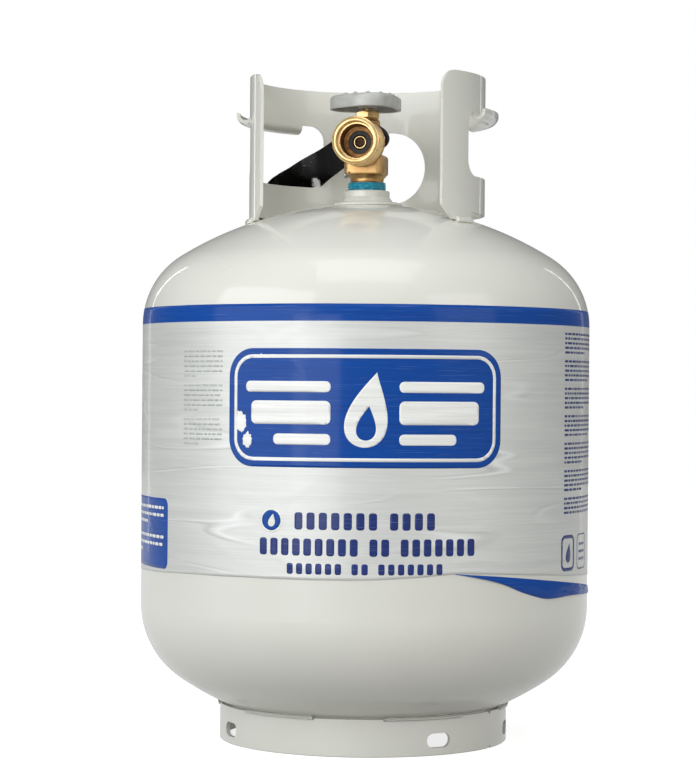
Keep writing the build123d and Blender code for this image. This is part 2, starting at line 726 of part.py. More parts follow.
def make_handwheel():
    """Die-cast triangular wheel, hollow below, with grip marks around its top edge."""
    low, high = WHEEL_Z
    under_z = high - WHEEL_SKIN_T
    wheel = Pos(0, 0, low) * extrude(wheel_outline(0.0), high - low)
    wheel = fillet(wheel.edges().group_by(Axis.Z)[-1], 2.6)
    wheel -= Pos(0, 0, low) * extrude(wheel_outline(WHEEL_SKIN_T), under_z - low)
    wheel += rod(WHEEL_HUB_R, low + 0.6, under_z + 0.5)
    for number in range(3):
        reach = (0, WHEEL_LOBE_DISTANCE + WHEEL_LOBE_R - 2)
        rib = block(reach, (-WHEEL_RIB_HALF, WHEEL_RIB_HALF), (low + 3.5, under_z + 0.5))
        wheel += Rot(0, 0, heading(WHEEL_LOBE_ANGLE + 120 * number)) * rib
    for number in range(WHEEL_BUMP_COUNT):
        angle = WHEEL_LOBE_ANGLE + 15 + number * 360 / WHEEL_BUMP_COUNT
        bump = Pos(WHEEL_BUMP_DISTANCE, 0, high) * Sphere(WHEEL_BUMP_R)
        wheel += Rot(0, 0, heading(angle)) * bump
    wheel -= rod(STEM_TOP_R, low - 1, low + 5.6)
    wheel -= rod(WHEEL_SCREW_R + 0.45, low + 5, high + 3)
    pocket_r, pocket_depth = WHEEL_SCREW_POCKET
    wheel -= rod(pocket_r, high - pocket_depth, high + 3)
    return wheel


def make_wheel_screw():
    """Pan-head screw that holds the wheel on the stem."""
    head_z = WHEEL_Z[1] - WHEEL_SCREW_POCKET[1]
    screw = rod(WHEEL_SCREW_HEAD_R, head_z, head_z + 2.0)
    screw = fillet(screw.edges().group_by(Axis.Z)[-1], 1.2)
    screw += rod(WHEEL_SCREW_R, WHEEL_Z[0] + 1.2, head_z)
    screw -= block((-3.5, 3.5), (-0.45, 0.45), (head_z + 1.0, head_z + 3))
    return screw


def coil(length, radius, wire_r, turns):
    """A compression spring along Z, from 0 to its length."""
    rise = length - 2 * wire_r
    path = Helix(rise / turns, rise, radius)
    section = (path ^ 0) * Circle(wire_r)
    return Pos(0, 0, wire_r) * sweep(section, path)


OUTLET_SEAL_Y = (OUTLET_MOUTH_Y + MOUTH_DEPTH, OUTLET_MOUTH_Y + MOUTH_DEPTH + 4.0)
POPPET_HEAD_Y = (OUTLET_SEAL_Y[1] + 0.1, OUTLET_SEAL_Y[1] + 2.2)
RELIEF_HEAD_Y = (RELIEF_SEAT_Y + SEAL_GAP, RELIEF_SEAT_Y + 2.6)
RELIEF_RETAINER_Y = (RELIEF_MOUTH_Y - 4.2, RELIEF_MOUTH_Y - 1.0)


def make_outlet_seal():
    """Rubber seal ring at the bottom of the outlet's bore."""
    front, back = OUTLET_SEAL_Y
    return turned_y(
        [
            (SEAL_RING_R, front + 0.6),
            (SEAL_RING_R + 0.6, front),
            (POPPET_CHAMBER_R, front),
            (POPPET_CHAMBER_R, back),
            (SEAL_RING_R, back),
        ],
        OUTLET_Z,
    )


def make_outlet_poppet():
    """Spring-loaded check valve that a hose connector pushes open."""
    front, back = POPPET_HEAD_Y
    tip = OUTLET_SEAL_Y[0] + 0.4
    return turned_y(
        [
            (0, tip + 2.2),
            (3.0, tip + 1.6),
            (POPPET_TIP_R - 0.8, tip),
            (POPPET_TIP_R - 0.1, tip),
            (POPPET_TIP_R, tip + 0.4),
            (POPPET_TIP_R, front),
            (POPPET_HEAD_R, front),
            (POPPET_HEAD_R, back),
            (POPPET_STEM_R, back),
            (POPPET_STEM_R, back + 2.0),
            (0, back + 2.0),
        ],
        OUTLET_Z,
    )


def make_outlet_spring():
    """Spring behind the outlet's check valve."""
    length = POPPET_CHAMBER_BACK_Y - 0.05 - POPPET_HEAD_Y[1] - 0.05
    spring = coil(length, *OUTLET_SPRING)
    return Pos(0, POPPET_HEAD_Y[1] + 0.05, OUTLET_Z) * Rot(-90, 0, 0) * spring


def make_relief_poppet():
    """Relief valve's sealing head and guide stem."""
    front, back = RELIEF_HEAD_Y
    return turned_y(
        [
            (0, front),
            (RELIEF_HEAD_R, front),
            (RELIEF_HEAD_R, back),
            (RELIEF_STEM_R, back),
            (RELIEF_STEM_R, RELIEF_RETAINER_Y[1] - 0.6),
            (0, RELIEF_RETAINER_Y[1] - 0.6),
        ],
        RELIEF_Z,
    )


def make_relief_spring():
    """Spring that sets the relief pressure."""
    length = RELIEF_RETAINER_Y[0] - 0.05 - RELIEF_HEAD_Y[1] - 0.05
    spring = coil(length, *RELIEF_SPRING)
    return Pos(0, RELIEF_HEAD_Y[1] + 0.05, RELIEF_Z) * Rot(-90, 0, 0) * spring


def make_relief_retainer():
    """Screwed ring that holds the relief spring, with vent holes around its guide."""
    front, back = RELIEF_RETAINER_Y
    ring = rod_y(RELIEF_BORE_R, front, back, RELIEF_Z)
    ring -= rod_y(RELIEF_STEM_R + RUNNING_FIT, front - 1, back + 1, RELIEF_Z)
    for number in range(4):
        turn = math.radians(45 + 90 * number)
        x = RELIEF_VENT_DISTANCE * math.cos(turn)
        z = RELIEF_Z + RELIEF_VENT_DISTANCE * math.sin(turn)
        ring -= rod_y(RELIEF_VENT_R, front - 1, back + 1, z, x)
    return ring


def make_bleed_screw():
    """Slotted screw of the fixed level gauge, on the body's left side."""
    face_x = -BLOCK_HALF_WIDTH
    screw = rod_x(BLEED_HEAD_R, face_x - 2.6, face_x - SEAL_GAP, BLEED_Z)
    screw = fillet(screw.edges().group_by(Axis.X)[0], 0.8)
    screw += rod_x(BLEED_BORE_R - RUNNING_FIT, face_x - 0.5, LEVEL_TUBE_X - 1.4, BLEED_Z)
    screw -= block((face_x - 3, face_x - 1.5), (-4, 4), (BLEED_Z - 0.5, BLEED_Z + 0.5))
    return screw


def make_level_tube():
    """Thin tube down to the level that the tank may be filled to."""
    low, high = LEVEL_TUBE_Z
    tube = rod(LEVEL_TUBE_R, low, high, LEVEL_TUBE_X)
    return tube - rod(LEVEL_TUBE_BORE_R, low - 1, high + 1, LEVEL_TUBE_X)


def make_opd_housing():
    """Overfill stop's housing: screwed into the valve, with a piston bore and two ears for the arm."""
    housing = rod(OPD_R, OPD_BOTTOM_Z, SHANK_BOTTOM_Z - 0.5, OPD_X)
    housing += rod(OPD_THREAD_R, SHANK_BOTTOM_Z - 1, OPD_SOCKET_TOP_Z - 1, OPD_X)
    housing -= rod(OPD_BORE_R, OPD_BOTTOM_Z + 3, OPD_BORE_TOP_Z, OPD_X)
    housing -= rod(OPD_PASSAGE_R, OPD_BORE_TOP_Z - 0.3, OPD_SOCKET_TOP_Z, OPD_X)
    housing -= rod(OPD_GUIDE_R + RUNNING_FIT, OPD_BOTTOM_Z - 1, OPD_BOTTOM_Z + 4, OPD_X)
    housing -= rod_y(OPD_PORT_R, -OPD_R - 1, OPD_R + 1, OPD_PORT_Z, OPD_X)
    ear_x = (OPD_X - OPD_EAR_HALF, OPD_X + OPD_EAR_HALF)
    for side in (1, -1):
        y_span = sorted(side * y for y in OPD_EAR_Y)
        ear = block(ear_x, y_span, (OPD_EAR_BOTTOM_Z, OPD_BOTTOM_Z + 0.5))
        ear = fillet(ear.edges().filter_by(Axis.Y).group_by(Axis.Z)[0], OPD_EAR_HALF - 0.1)
        housing += ear
    housing -= rod_y(PIVOT_R, -7, 7, PIVOT_Z, OPD_X)
    return housing


def make_opd_pin():
    """Pivot pin of the float arm, pressed into the ears."""
    return rod_y(PIVOT_R, -6.4, 6.4, PIVOT_Z, OPD_X)


def make_opd_piston():
    """Piston that the arm's cam lifts to close the filling passage."""
    low, high = PISTON_Z
    piston = rod(OPD_BORE_R - RUNNING_FIT, low, high, OPD_X)
    piston += rod(PISTON_SEAL_R, high - 0.5, PISTON_SEAL_TOP_Z, OPD_X)
    piston += rod(OPD_GUIDE_R, PISTON_STEM_BOTTOM_Z, low + 0.5, OPD_X)
    return piston


def float_stalk(z_low, z_high):
    """The float arm's straight bar between two heights."""
    half_x, half_y = ARM_HALF
    return block((OPD_X - half_x, OPD_X + half_x), (-half_y, half_y), (z_low, z_high))


def make_float_arm():
    """Float arm with its hub and cam, hanging down from the pivot."""
    arm = rod_y(ARM_HUB_R, -ARM_HUB_HALF, ARM_HUB_HALF, PIVOT_Z, OPD_X)
    arm += float_stalk(PIVOT_Z - ARM_LENGTH, PIVOT_Z)
    cam = block((-CAM_HALF, CAM_HALF), (-ARM_HALF[1], ARM_HALF[1]), (0, CAM_REACH))
    arm += Pos(OPD_X, 0, PIVOT_Z) * Rot(0, CAM_TURN, 0) * cam
    arm -= rod_y(PIVOT_R + RUNNING_FIT, -4, 4, PIVOT_Z, OPD_X)
    return arm


def make_float():
    """Slim foam float, narrow enough to go in through the spud."""
    top = PIVOT_Z - FLOAT_DROP
    body = rod(FLOAT_R, top - FLOAT_LENGTH, top, OPD_X)
    body = fillet(body.edges().filter_by(GeomType.CIRCLE), 3.0)
    return body - float_stalk(PIVOT_Z - ARM_LENGTH, top + 1)


def make_tether_ring():
    """Rubber ring that hangs around the valve's upper boss, high in front and low behind."""
    ring = Torus(TETHER_RING_R, TETHER_CORD_R)
    return Pos(0, 0, TETHER_RING_Z) * Rot(-TETHER_RING_TILT, 0, 0) * ring


def strap_stations():
    """The strap's centre line, as points with their direction of travel, ending at the plug's neck."""
    points = [Vector(*place) for place in STRAP_ROUTE]
    points.append(around(PLUG_ANGLE, PLUG_STRAP_R, PLUG_Z))
    stations = []
    for index, point in enumerate(points):
        before = points[max(index - 1, 0)]
        after = points[min(index + 1, len(points) - 1)]
        stations.append((point, (after - before).normalized()))
    return stations


def make_tether_strap(ring):
    """Flat moulded strap, on edge, from the ring out through the hand-hole to the plug."""
    up = Vector(0, 0, 1)
    outward = around(PLUG_ANGLE, 1)
    stations = strap_stations()
    last_point, last_direction = stations[-2]
    stations[-1] = (last_point + last_direction * STRAP_OVERLAP, last_direction)
    sections = []
    for index, (point, direction) in enumerate(stations):
        natural = direction.cross(up).normalized()
        share = min(max((index - 2) / 3, 0), 1)
        normal = (natural * (1 - share) + outward * share).normalized()
        across = normal.cross(direction).normalized()
        plane = Plane(origin=point, x_dir=across, z_dir=direction)
        sections.append(plane * Rectangle(STRAP_WIDTH, STRAP_T))
    strap = loft(sections, ruled=True)
    eye_plane = Plane(origin=around(PLUG_ANGLE, PLUG_STRAP_R, PLUG_Z), z_dir=outward)
    strap += extrude(eye_plane * Circle(STRAP_EYE_R), STRAP_T / 2, both=True)
    strap -= extrude(eye_plane * Circle(PLUG_NECK_R + RUNNING_FIT), 8, both=True)
    return strap - ring


def make_dust_plug():
    """Push-in plug for the outlet, hanging outside the collar with its neck through the strap's eye."""
    outline = [
        (0, -PLUG_BODY_LENGTH),
        (PLUG_BODY_R - 1.2, -PLUG_BODY_LENGTH),
        (PLUG_BODY_R, 1.5 - PLUG_BODY_LENGTH),
        (PLUG_BODY_R, -4.0),
        (PLUG_FLANGE_R - 0.6, -4.0),
        (PLUG_FLANGE_R, -3.4),
        (PLUG_FLANGE_R, -1.6),
        (PLUG_FLANGE_R - 0.6, -1.0),
        (PLUG_NECK_R, -1.0),
        (PLUG_NECK_R, 1.0),
        (6.5, 1.0),
        (6.5, 3.4),
        (5.9, 4.0),
        (0, 4.0),
    ]
    face = make_face(Polyline(*[(r, 0, z) for r, z in outline], close=True))
    plug = revolve(face, Axis.Z, 360)
    plug -= rod(PLUG_CAVITY_R, -PLUG_BODY_LENGTH - 1, -6)
    outward = around(PLUG_ANGLE, 1)
    place = Plane(origin=around(PLUG_ANGLE, PLUG_STRAP_R, PLUG_Z), z_dir=outward)
    return place.location * plug


def make_label():
    """Printed film shrunk around the body and onto the top knuckle."""
    low, high = LABEL_Z
    centre_r = TANK_R - TOP_KNUCKLE_R

    def on_knuckle(offset_r, z):
        radius = TOP_KNUCKLE_R + offset_r
        return (centre_r + math.sqrt(radius ** 2 - (z - TOP_TANGENT_Z) ** 2), 0, z)

    middle = (TOP_TANGENT_Z + high) / 2
    outer_r = TANK_R + LABEL_T
    inner_arc = ThreePointArc((TANK_R, 0, TOP_TANGENT_Z), on_knuckle(0, middle), on_knuckle(0, high))
    outer_places = (on_knuckle(LABEL_T, middle), on_knuckle(LABEL_T, high))
    outer_arc = ThreePointArc((outer_r, 0, TOP_TANGENT_Z), *outer_places)
    wall = Polyline(inner_arc @ 0, (TANK_R, 0, low), (outer_r, 0, low), outer_arc @ 0)
    outline = [inner_arc, outer_arc, Line(inner_arc @ 1, outer_arc @ 1), wall]
    return turned_face(outline)


def make_label_flap():
    """Loose strip of film, torn along the label's lower edge."""
    start, end = FLAP_SPAN
    low, high = FLAP_Z
    flap = sector((start, end), (FLAP_R, FLAP_R + FLAP_T), (low, high))
    middle = around(start, FLAP_R, low)
    edges = [edge for edge in flap.edges() if (edge.center() - middle).length < 0.6]
    return chamfer(edges, high - low - FLAP_TORN_END)


def save(name, shape):
    """Writes one node."""
    export_step(shape, f"parts/{name}.step")


def group(shapes):
    """Several separate solids as one node."""
    solids = []
    for shape in shapes:
        solids.extend(shape.solids())
    return Compound(children=solids)


def main():
    os.makedirs("parts", exist_ok=True)
    upper_shell = make_upper_shell()
    lower_shell = make_lower_shell()
    foot_ring = make_foot_ring()
    collar = make_collar()
    spud = make_spud()
    ring = make_tether_ring()
    save("upper_shell", upper_shell)
    save("lower_shell", lower_shell)
    save("girth_weld", make_girth_weld())
    save("foot_ring", foot_ring)
    save("foot_ring_welds", group(make_foot_ring_welds(lower_shell + foot_ring)))
    save("collar", collar)
    save("collar_welds", group(make_collar_welds(upper_shell + collar)))
    save("valve_spud", spud)
    save("spud_weld", make_spud_weld(upper_shell + spud))
    save("thread_sealant", make_sealant())
    save("valve_body", make_valve_body())
    save("gland_nut", make_gland_nut())
    save("gland_washer", make_gland_washer())
    save("stem_seal", make_stem_seal())
    save("valve_stem", make_stem())
    save("seat_holder", make_seat_holder())
    save("seat_seal", make_seat_seal())
    save("handwheel", make_handwheel())
    save("handwheel_screw", make_wheel_screw())
    save("outlet_seal", make_outlet_seal())
    save("outlet_poppet", make_outlet_poppet())
    save("outlet_spring", make_outlet_spring())
    save("relief_poppet", make_relief_poppet())
    save("relief_spring", make_relief_spring())
    save("relief_retainer", make_relief_retainer())
    save("bleed_screw", make_bleed_screw())
    save("level_tube", make_level_tube())
    save("opd_housing", make_opd_housing())
    save("opd_pivot_pin", make_opd_pin())
    save("opd_piston", make_opd_piston())
    save("opd_float_arm", make_float_arm())
    save("opd_float", make_float())
    save("tether_ring", ring)
    save("tether_strap", make_tether_strap(ring))
    save("dust_plug", make_dust_plug())
    save("label_wrap", make_label())
    save("label_flap", make_label_flap())


main()
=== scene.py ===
"""Looks of the portable propane tank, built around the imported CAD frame.

Lengths are in metres. Angles around the tank start at its front, -Y, and grow towards +X.
On the label, s is the distance along the film from the middle of its front, and z is the height.
"""

import json
import math
import random

import bmesh
import bpy
from mathutils import Matrix, Vector, noise


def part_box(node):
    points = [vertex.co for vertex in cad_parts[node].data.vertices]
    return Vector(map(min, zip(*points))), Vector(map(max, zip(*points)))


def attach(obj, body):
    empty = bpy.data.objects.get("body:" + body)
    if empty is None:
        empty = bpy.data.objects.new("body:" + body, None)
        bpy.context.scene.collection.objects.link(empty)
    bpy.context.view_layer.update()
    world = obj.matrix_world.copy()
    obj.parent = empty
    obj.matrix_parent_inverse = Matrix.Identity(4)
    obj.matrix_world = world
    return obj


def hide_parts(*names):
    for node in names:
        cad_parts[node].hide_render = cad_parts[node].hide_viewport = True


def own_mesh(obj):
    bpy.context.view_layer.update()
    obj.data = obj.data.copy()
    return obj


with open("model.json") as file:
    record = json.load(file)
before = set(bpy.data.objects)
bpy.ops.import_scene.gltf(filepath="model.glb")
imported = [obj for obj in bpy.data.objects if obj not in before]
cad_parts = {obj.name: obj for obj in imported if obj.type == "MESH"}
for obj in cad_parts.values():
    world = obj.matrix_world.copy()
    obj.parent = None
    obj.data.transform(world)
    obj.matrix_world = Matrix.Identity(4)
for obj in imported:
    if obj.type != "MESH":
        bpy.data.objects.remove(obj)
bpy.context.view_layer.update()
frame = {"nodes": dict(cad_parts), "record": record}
NODES = frame["nodes"]

MM = 0.001
LABEL_LOW, LABEL_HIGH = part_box("label_wrap")
FLAP_OUTER_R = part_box("label_flap")[1].x
TANK_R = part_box("upper_shell")[1].x

# Camera
VIEW_TURN = math.radians(13.0)
VIEW_DISTANCE = 1.704
VIEW_SHIFT = 0.0122
VIEW_HEIGHT = 0.2425
VIEW_ROLL = math.radians(0.45)
VIEW_LENS = 113.2

# Label film. Above TANGENT_Z the wall curves in to the crown, with the radius KNUCKLE_R.
FRONT_ANGLE = math.radians(12.5)
FILM_R = LABEL_HIGH.x
FILM_REST_R = FILM_R - 0.22 * MM
FILM_THICKNESS = 0.06 * MM
FILM_CELL = 2.0 * MM
FILM_TOP = LABEL_HIGH.z
TANGENT_Z = 286.3 * MM
KNUCKLE_R = 55.6 * MM
BAND_BOTTOM = FILM_TOP - 11.1 * MM
BAND_ROWS = 5
EDGE_BLEND = 16.0 * MM
PRINT_STEP = 0.035 * MM


def smooth_step(value):
    value = min(max(value, 0.0), 1.0)
    return value * value * (3 - 2 * value)


def curve_value(points, x):
    """Height at x of a smooth curve through points, a list of (x, height)."""
    if x <= points[0][0]:
        return points[0][1]
    if x >= points[-1][0]:
        return points[-1][1]
    slopes = [(points[1][1] - points[0][1]) / (points[1][0] - points[0][0])]
    for before, after in zip(points, points[2:]):
        slopes.append((after[1] - before[1]) / (after[0] - before[0]))
    slopes.append((points[-1][1] - points[-2][1]) / (points[-1][0] - points[-2][0]))
    index = max(i for i, (start, _) in enumerate(points[:-1]) if start <= x)
    (x0, y0), (x1, y1) = points[index], points[index + 1]
    width = x1 - x0
    t = (x - x0) / width
    height = (2 * t ** 3 - 3 * t ** 2 + 1) * y0 + (3 * t ** 2 - 2 * t ** 3) * y1
    start_share, end_share = t ** 3 - 2 * t ** 2 + t, t ** 3 - t ** 2
    return height + width * (start_share * slopes[index] + end_share * slopes[index + 1])


def on_wall(angle, radius, z):
    """The point at that angle around the tank, distance from its axis and height."""
    return Vector((radius * math.sin(angle), -radius * math.cos(angle), z))


def frame_point(joint):
    """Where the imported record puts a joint."""
    row = next(row for row in frame["record"]["behaviour"]["joints"] if row["name"] == joint)
    return Vector(row["pos_m"])


# --- Materials ---

def srgb(red, green, blue):
    """The linear colour of an sRGB colour given in steps from 0 to 255."""
    shares = [value / 255 for value in (red, green, blue)]
    linear = [s / 12.92 if s <= 0.04045 else ((s + 0.055) / 1.055) ** 2.4 for s in shares]
    return (*linear, 1.0)


class Nodes:
    """A material's or a world's shader nodes, added one call at a time."""

    def __init__(self, owner):
        owner.use_nodes = True
        self.tree = owner.node_tree

    def add(self, kind, *inputs, **properties):
        """A new node. Inputs are sockets to link, values to set, or None to leave alone."""
        node = self.tree.nodes.new(kind)
        for name, value in properties.items():
            setattr(node, name, value)
        for socket, value in zip(node.inputs, inputs):
            self.feed(socket, value)
        return node

    def feed(self, socket, value):
        if isinstance(value, bpy.types.NodeSocket):
            self.tree.links.new(value, socket)
        elif value is not None:
            socket.default_value = value

    def point(self):
        """Object coordinates, which are the row frame at rest."""
        return self.add("ShaderNodeTexCoord").outputs["Object"]

    def stretched(self, vector, x, y, z):
        node = self.add("ShaderNodeMapping")
        self.feed(node.inputs["Vector"], vector)
        node.inputs["Scale"].default_value = (x, y, z)
        return node.outputs["Vector"]

    def around(self):
        """Distance around the tank, height and distance from the axis, as one vector."""
        split = self.add("ShaderNodeSeparateXYZ", self.point())
        x, y, z = split.outputs
        backward = self.maths("MULTIPLY", y, -1.0)
        angle = self.maths("ARCTAN2", x, backward)
        distance = self.maths("MULTIPLY", angle, TANK_R)
        squares = self.maths("ADD", self.maths("POWER", x, 2.0), self.maths("POWER", y, 2.0))
        radius = self.maths("SQRT", squares)
        return self.add("ShaderNodeCombineXYZ", distance, z, radius).outputs["Vector"]

    def maths(self, operation, first, second=None):
        return self.add("ShaderNodeMath", first, second, operation=operation).outputs[0]

    def noise(self, vector, scale, detail=4.0, roughness=0.55):
        node = self.add("ShaderNodeTexNoise")
        self.feed(node.inputs["Vector"], vector)
        self.feed(node.inputs["Scale"], scale)
        self.feed(node.inputs["Detail"], detail)
        self.feed(node.inputs["Roughness"], roughness)
        return node.outputs["Fac"]

    def cells(self, vector, scale):
        node = self.add("ShaderNodeTexVoronoi")
        self.feed(node.inputs["Vector"], vector)
        self.feed(node.inputs["Scale"], scale)
        return node.outputs["Distance"]

    def ramp(self, value, *stops):
        """Colours along value. Each stop is (position, colour)."""
        node = self.add("ShaderNodeValToRGB", value)
        elements = node.color_ramp.elements
        while len(elements) < len(stops):
            elements.new(0.5)
        for element, (position, colour) in zip(elements, stops):
            element.position = position
            element.color = colour
        return node.outputs["Color"]

    def span(self, value, low, high, new_low, new_high):
        node = self.add("ShaderNodeMapRange", value, low, high, new_low, new_high)
        return node.outputs["Result"]

    def blend(self, share, first, second):
        node = self.add("ShaderNodeMix", data_type="RGBA")
        self.feed(node.inputs["Factor"], share)
        self.feed(node.inputs[6], first)
        self.feed(node.inputs[7], second)
        return node.outputs[2]

    def bump(self, height, distance, below=None, strength=1.0):
        node = self.add("ShaderNodeBump")
        self.feed(node.inputs["Strength"], strength)
        self.feed(node.inputs["Distance"], distance)
        self.feed(node.inputs["Height"], height)
        self.feed(node.inputs["Normal"], below)
        return node.outputs["Normal"]

    def rounded_edges(self, radius):
        node = self.add("ShaderNodeBevel", samples=4)
        node.inputs["Radius"].default_value = radius
        return node.outputs["Normal"]


class Finish(Nodes):
    """A Principled material."""

    def __init__(self, name, **sockets):
        self.material = bpy.data.materials.new(name)
        super().__init__(self.material)
        self.shader = self.tree.nodes["Principled BSDF"]
        for socket, value in sockets.items():
            self.shader.inputs[socket.replace("_", " ")].default_value = value

    def finish(self, colour=None, roughness=None, normal=None, metallic=None):
        self.feed(self.shader.inputs["Base Color"], colour)
        self.feed(self.shader.inputs["Roughness"], roughness)
        self.feed(self.shader.inputs["Normal"], normal)
        self.feed(self.shader.inputs["Metallic"], metallic)
        return self.material


def tank_paint():
    """Glossy off-white powder coat with faint orange peel and sparse dust specks."""
    paint = Finish("tank_paint", Coat_Weight=0.75, Coat_Roughness=0.04, Coat_IOR=1.5)
    point = paint.point()
    cloud = paint.noise(point, 9.0, 3.0)
    colour = paint.ramp(cloud, (0.3, srgb(214, 214, 204)), (0.7, srgb(220, 219, 210)))
    speck = paint.span(paint.cells(point, 260.0), 0.03, 0.06, 1.0, 0.0)
    rare = paint.span(paint.noise(point, 31.0, 1.0), 0.66, 0.7, 0.0, 0.6)
    colour = paint.blend(paint.maths("MULTIPLY", speck, rare), colour, srgb(150, 144, 130))
    peel = paint.bump(paint.noise(point, 330.0, 2.0, 0.4), 0.012 * MM, paint.rounded_edges(0.5 * MM))
    wave = paint.bump(paint.noise(point, 36.0, 2.0), 0.035 * MM, peel)
    return paint.finish(colour, paint.span(cloud, 0.3, 0.7, 0.26, 0.36), wave)


def forged_brass():
    """Blasted brass forging: pinkish gold with a fine grain and darker patches."""
    brass = Finish("forged_brass", Metallic=1.0)
    point = brass.point()
    grain = brass.noise(point, 1500.0, 6.0, 0.7)
    stain = brass.noise(point, 120.0, 5.0)
    tones = [(0.3, srgb(160, 122, 76)), (0.5, srgb(196, 158, 106)), (0.72, srgb(218, 184, 134))]
    colour = brass.ramp(stain, *tones)
    edge = brass.rounded_edges(0.35 * MM)
    normal = brass.bump(grain, 0.05 * MM, edge)
    return brass.finish(colour, brass.span(stain, 0.3, 0.7, 0.3, 0.46), normal)


def turned_brass():
    """Brass cut on a lathe: brighter, with fine tool marks around the outlet's axis."""
    brass = Finish("turned_brass", Metallic=1.0, Anisotropic=0.3)
    point = brass.point()
    marks = brass.noise(brass.stretched(point, 60.0, 4200.0, 60.0), 1.0, 2.0)
    stain = brass.noise(point, 160.0, 4.0)
    colour = brass.ramp(stain, (0.3, srgb(204, 168, 112)), (0.7, srgb(232, 202, 150)))
    normal = brass.bump(marks, 0.003 * MM, brass.rounded_edges(0.3 * MM))
    return brass.finish(colour, brass.span(marks, 0.3, 0.7, 0.2, 0.3), normal)


def bore_brass():
    """Brass inside the outlet's bore: unpolished, with ring marks from the cutter, and painted darker
    and browner as shade in the recess.
    """
    brass = Finish("bore_brass", Metallic=0.9)
    point = brass.point()
    marks = brass.noise(brass.stretched(point, 60.0, 3000.0, 60.0), 1.0, 2.0)
    stain = brass.noise(point, 240.0, 4.0)
    colour = brass.ramp(stain, (0.3, srgb(92, 62, 36)), (0.7, srgb(150, 108, 64)))
    normal = brass.bump(marks, 0.01 * MM)
    return brass.finish(colour, brass.span(marks, 0.3, 0.7, 0.3, 0.45), normal)


def painted_shade_brass():
    """Brass painted dark brown at the bottom of the outlet, as shade deep in the bore."""
    brass = Finish("painted_shade_brass", Metallic=0.6)
    stain = brass.noise(brass.point(), 600.0, 4.0)
    colour = brass.ramp(stain, (0.3, srgb(34, 20, 12)), (0.7, srgb(92, 58, 34)))
    return brass.finish(colour, brass.span(stain, 0.3, 0.7, 0.4, 0.6), brass.bump(stain, 0.04 * MM))


def thread_compound():
    """Teal sealing compound, squeezed out of the threads and dried unevenly."""
    compound = Finish("thread_compound", Coat_Weight=0.2)
    point = compound.point()
    mottle = compound.noise(point, 420.0, 5.0, 0.65)
    tones = [(0.3, srgb(0, 104, 130)), (0.55, srgb(0, 148, 176)), (0.75, srgb(110, 205, 222))]
    colour = compound.ramp(mottle, *tones)
    normal = compound.bump(mottle, 0.1 * MM)
    return compound.finish(colour, compound.span(mottle, 0.3, 0.7, 0.38, 0.6), normal)


def cast_zinc():
    """Tumbled zinc die casting, dull grey in lighter and darker patches, with rounded edges."""
    zinc = Finish("zinc_casting", Metallic=0.35)
    point = zinc.point()
    cloud = zinc.noise(point, 90.0, 5.0)
    grain = zinc.noise(point, 1300.0, 4.0, 0.7)
    colour = zinc.ramp(cloud, (0.3, srgb(166, 167, 163)), (0.7, srgb(196, 197, 192)))
    normal = zinc.bump(grain, 0.14 * MM, zinc.rounded_edges(0.4 * MM))
    return zinc.finish(colour, zinc.span(grain, 0.3, 0.7, 0.42, 0.6), normal)


def bright_steel():
    """Zinc-plated steel with faint drawn streaks."""
    steel = Finish("steel", Metallic=1.0)
    point = steel.point()
    streak = steel.noise(steel.stretched(point, 1500.0, 1500.0, 90.0), 1.0, 3.0)
    colour = steel.ramp(streak, (0.3, srgb(158, 160, 162)), (0.7, srgb(196, 197, 198)))
    normal = steel.bump(streak, 0.02 * MM, steel.rounded_edges(0.2 * MM))
    return steel.finish(colour, steel.span(streak, 0.3, 0.7, 0.24, 0.38), normal)


def black_rubber():
    """Moulded rubber: matt, slightly bloomed."""
    rubber = Finish("black_rubber")
    point = rubber.point()
    bloom = rubber.noise(point, 260.0, 5.0)
    colour = rubber.ramp(bloom, (0.35, srgb(12, 11, 10)), (0.75, srgb(30, 27, 25)))
    normal = rubber.bump(rubber.noise(point, 1800.0, 3.0), 0.03 * MM, rubber.rounded_edges(0.2 * MM))
    return rubber.finish(colour, rubber.span(bloom, 0.3, 0.7, 0.42, 0.62), normal)


# Where a pale patch is painted on the strap near the collar's edge as a painted highlight, and how far
# from there the pale ends.
PAINTED_GLINT_SPOT = (-53.0 * MM, 61.8 * MM, 390.5 * MM)
PAINTED_GLINT_R, PAINTED_GLINT_END_R = 3.8 * MM, 5.2 * MM
PAINTED_GLINT_RAG = 4 * MM


